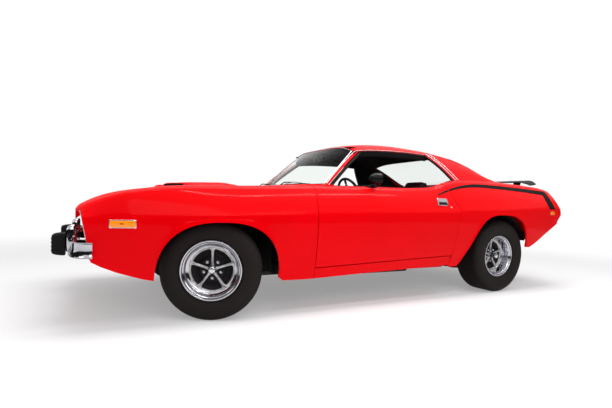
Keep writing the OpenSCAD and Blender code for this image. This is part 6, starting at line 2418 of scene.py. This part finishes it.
def pale_floor():
    material, tree, shader = new_material("pale_floor", Roughness=0.9, Specular_IOR_Level=0.2)
    shader.inputs["Base Color"].default_value = (0.66, 0.66, 0.67, 1)
    out = tree.nodes["Material Output"]
    glow = add_node(tree, "ShaderNodeEmission", sockets={"Color": (1, 1, 1, 1), "Strength": 0.3})
    both_rays = add_node(tree, "ShaderNodeAddShader", links={0: shader.outputs[0], 1: glow.outputs[0]})
    pick = add_node(tree, "ShaderNodeMixShader",
                    links={0: seen_directly(tree), 1: shader.outputs[0], 2: both_rays.outputs[0]})
    where = add_node(tree, "ShaderNodeTexCoord")
    far = add_node(tree, "ShaderNodeVectorMath", {"operation": "LENGTH"}, links={0: where.outputs["Object"]})
    fade = add_node(tree, "ShaderNodeMapRange", {"interpolation_type": "SMOOTHSTEP"},
                    {"From Min": WHITE_FROM, "From Max": WHITE_TO}, {"Value": far.outputs["Value"]})
    only_seen = add_node(tree, "ShaderNodeMath", {"operation": "MULTIPLY"},
                         links={0: seen_directly(tree), 1: fade.outputs[0]})
    white = add_node(tree, "ShaderNodeEmission", sockets={"Color": (1, 1, 1, 1), "Strength": 1.0})
    horizon = add_node(tree, "ShaderNodeMixShader",
                       links={0: only_seen.outputs[0], 1: pick.outputs[0], 2: white.outputs[0]})
    tree.links.new(horizon.outputs[0], out.inputs["Surface"])
    return material


floor_size = 30
floor_mesh = bpy.data.meshes.new("studio_floor")
floor_mesh.from_pydata([(-floor_size, -floor_size, 0), (floor_size, -floor_size, 0), (floor_size, floor_size, 0),
                        (-floor_size, floor_size, 0)], [], [(0, 1, 2, 3)])
floor = bpy.data.objects.new("studio_floor", floor_mesh)
bpy.context.scene.collection.objects.link(floor)
floor_mesh.materials.append(pale_floor())

world = bpy.data.worlds.new("studio")
bpy.context.scene.world = world
world.use_nodes = True
sky = world.node_tree
level = add_node(sky, "ShaderNodeMapRange", sockets={"To Min": 0.42, "To Max": 1.0},
                 links={"Value": seen_directly(sky)})
sky.links.new(level.outputs[0], sky.nodes["Background"].inputs["Strength"])
sky.nodes["Background"].inputs["Color"].default_value = (1, 1, 1, 1)
print("stage ready")

# %% [markdown]
# Three large soft boxes: one overhead along the car for the long highlight on the shoulder, one beside the
# left side, and a weaker one at the nose. Their size, not their power, is what makes the shadow soft. A
# narrow strip adds the bright streak on the flank, and four dark cards give chrome a horizon to mirror.

# %% Soft boxes and camera
def soft_box(name, place, look, size, watts):
    data = bpy.data.lights.new(name, "AREA")
    data.shape, data.size, data.size_y, data.energy = "RECTANGLE", size[0], size[1], watts
    lamp = bpy.data.objects.new(name, data)
    lamp.location = place
    lamp.rotation_euler = (Vector(look) - Vector(place)).to_track_quat("-Z", "Y").to_euler()
    bpy.context.scene.collection.objects.link(lamp)


soft_box("overhead_box", (0.6, 0, 4.2), (0, 0, 0.4), (5.5, 2.2), 215)
soft_box("side_box", (5.2, -0.6, 2.6), (0.6, 0, 0.6), (4.5, 1.6), 46)
soft_box("nose_box", (1.5, -5.6, 2.4), (0.2, -1.6, 0.6), (3.0, 1.6), 22)
CARD_FAR, CARD_TALL = 9, 3.4


def dark_card(name, corners):
    """A grey flag that only mirrors can see: it puts a horizon into chrome and lacquer."""
    mesh = bpy.data.meshes.new(name)
    mesh.from_pydata(corners, [], [(0, 1, 2, 3)])
    card_object = bpy.data.objects.new(name, mesh)
    bpy.context.scene.collection.objects.link(card_object)
    mesh.materials.append(flag_cloth)
    card_object.visible_camera = card_object.visible_diffuse = card_object.visible_shadow = False
    card_object.visible_transmission = False


flag_cloth = new_material("grey_flag_cloth", Roughness=1.0, Specular_IOR_Level=0.0)[0]
flag_cloth.node_tree.nodes["Principled BSDF"].inputs["Base Color"].default_value = (0.03, 0.03, 0.032, 1)
for name, (ax, ay), (bx, by) in (("left_flag", (1, -1), (1, 1)), ("right_flag", (-1, -1), (-1, 1)),
                                 ("front_flag", (-1, -1), (1, -1)), ("rear_flag", (-1, 1), (1, 1))):
    dark_card(name, [(CARD_FAR * x, CARD_FAR * y, z) for x, y, z in
                     ((ax, ay, 0.0), (bx, by, 0.0), (bx, by, CARD_TALL), (ax, ay, CARD_TALL))])

soft_box("streak_box", (3.4, 0.3, 4.4), (0.9, 0, 0.7), (6.0, 0.14), 62)

yaw, pitch, roll = math.radians(29.385), math.radians(-2.20), math.radians(2.03)
ahead = Vector((-math.cos(yaw) * math.cos(pitch), math.sin(yaw) * math.cos(pitch), math.sin(pitch)))
right = ahead.cross(Vector((0, 0, 1))).normalized()
up = right.cross(ahead)
right_r = right * math.cos(roll) + up * math.sin(roll)
up_r = up * math.cos(roll) - right * math.sin(roll)
camera_data = bpy.data.cameras.new("camera")
camera_data.sensor_width, camera_data.lens = 36, 23.918
camera_data.shift_x, camera_data.shift_y = -0.02278, 0.03012
camera = bpy.data.objects.new("camera", camera_data)
camera.matrix_world = Matrix.Translation((3.4541, -2.1743, 0.7713)) @ Matrix(
    (right_r, up_r, -ahead)).transposed().to_4x4()
bpy.context.scene.collection.objects.link(camera)
bpy.context.scene.camera = camera
bpy.context.scene.view_settings.view_transform = "Standard"
print("camera", [round(c, 3) for c in camera.location])
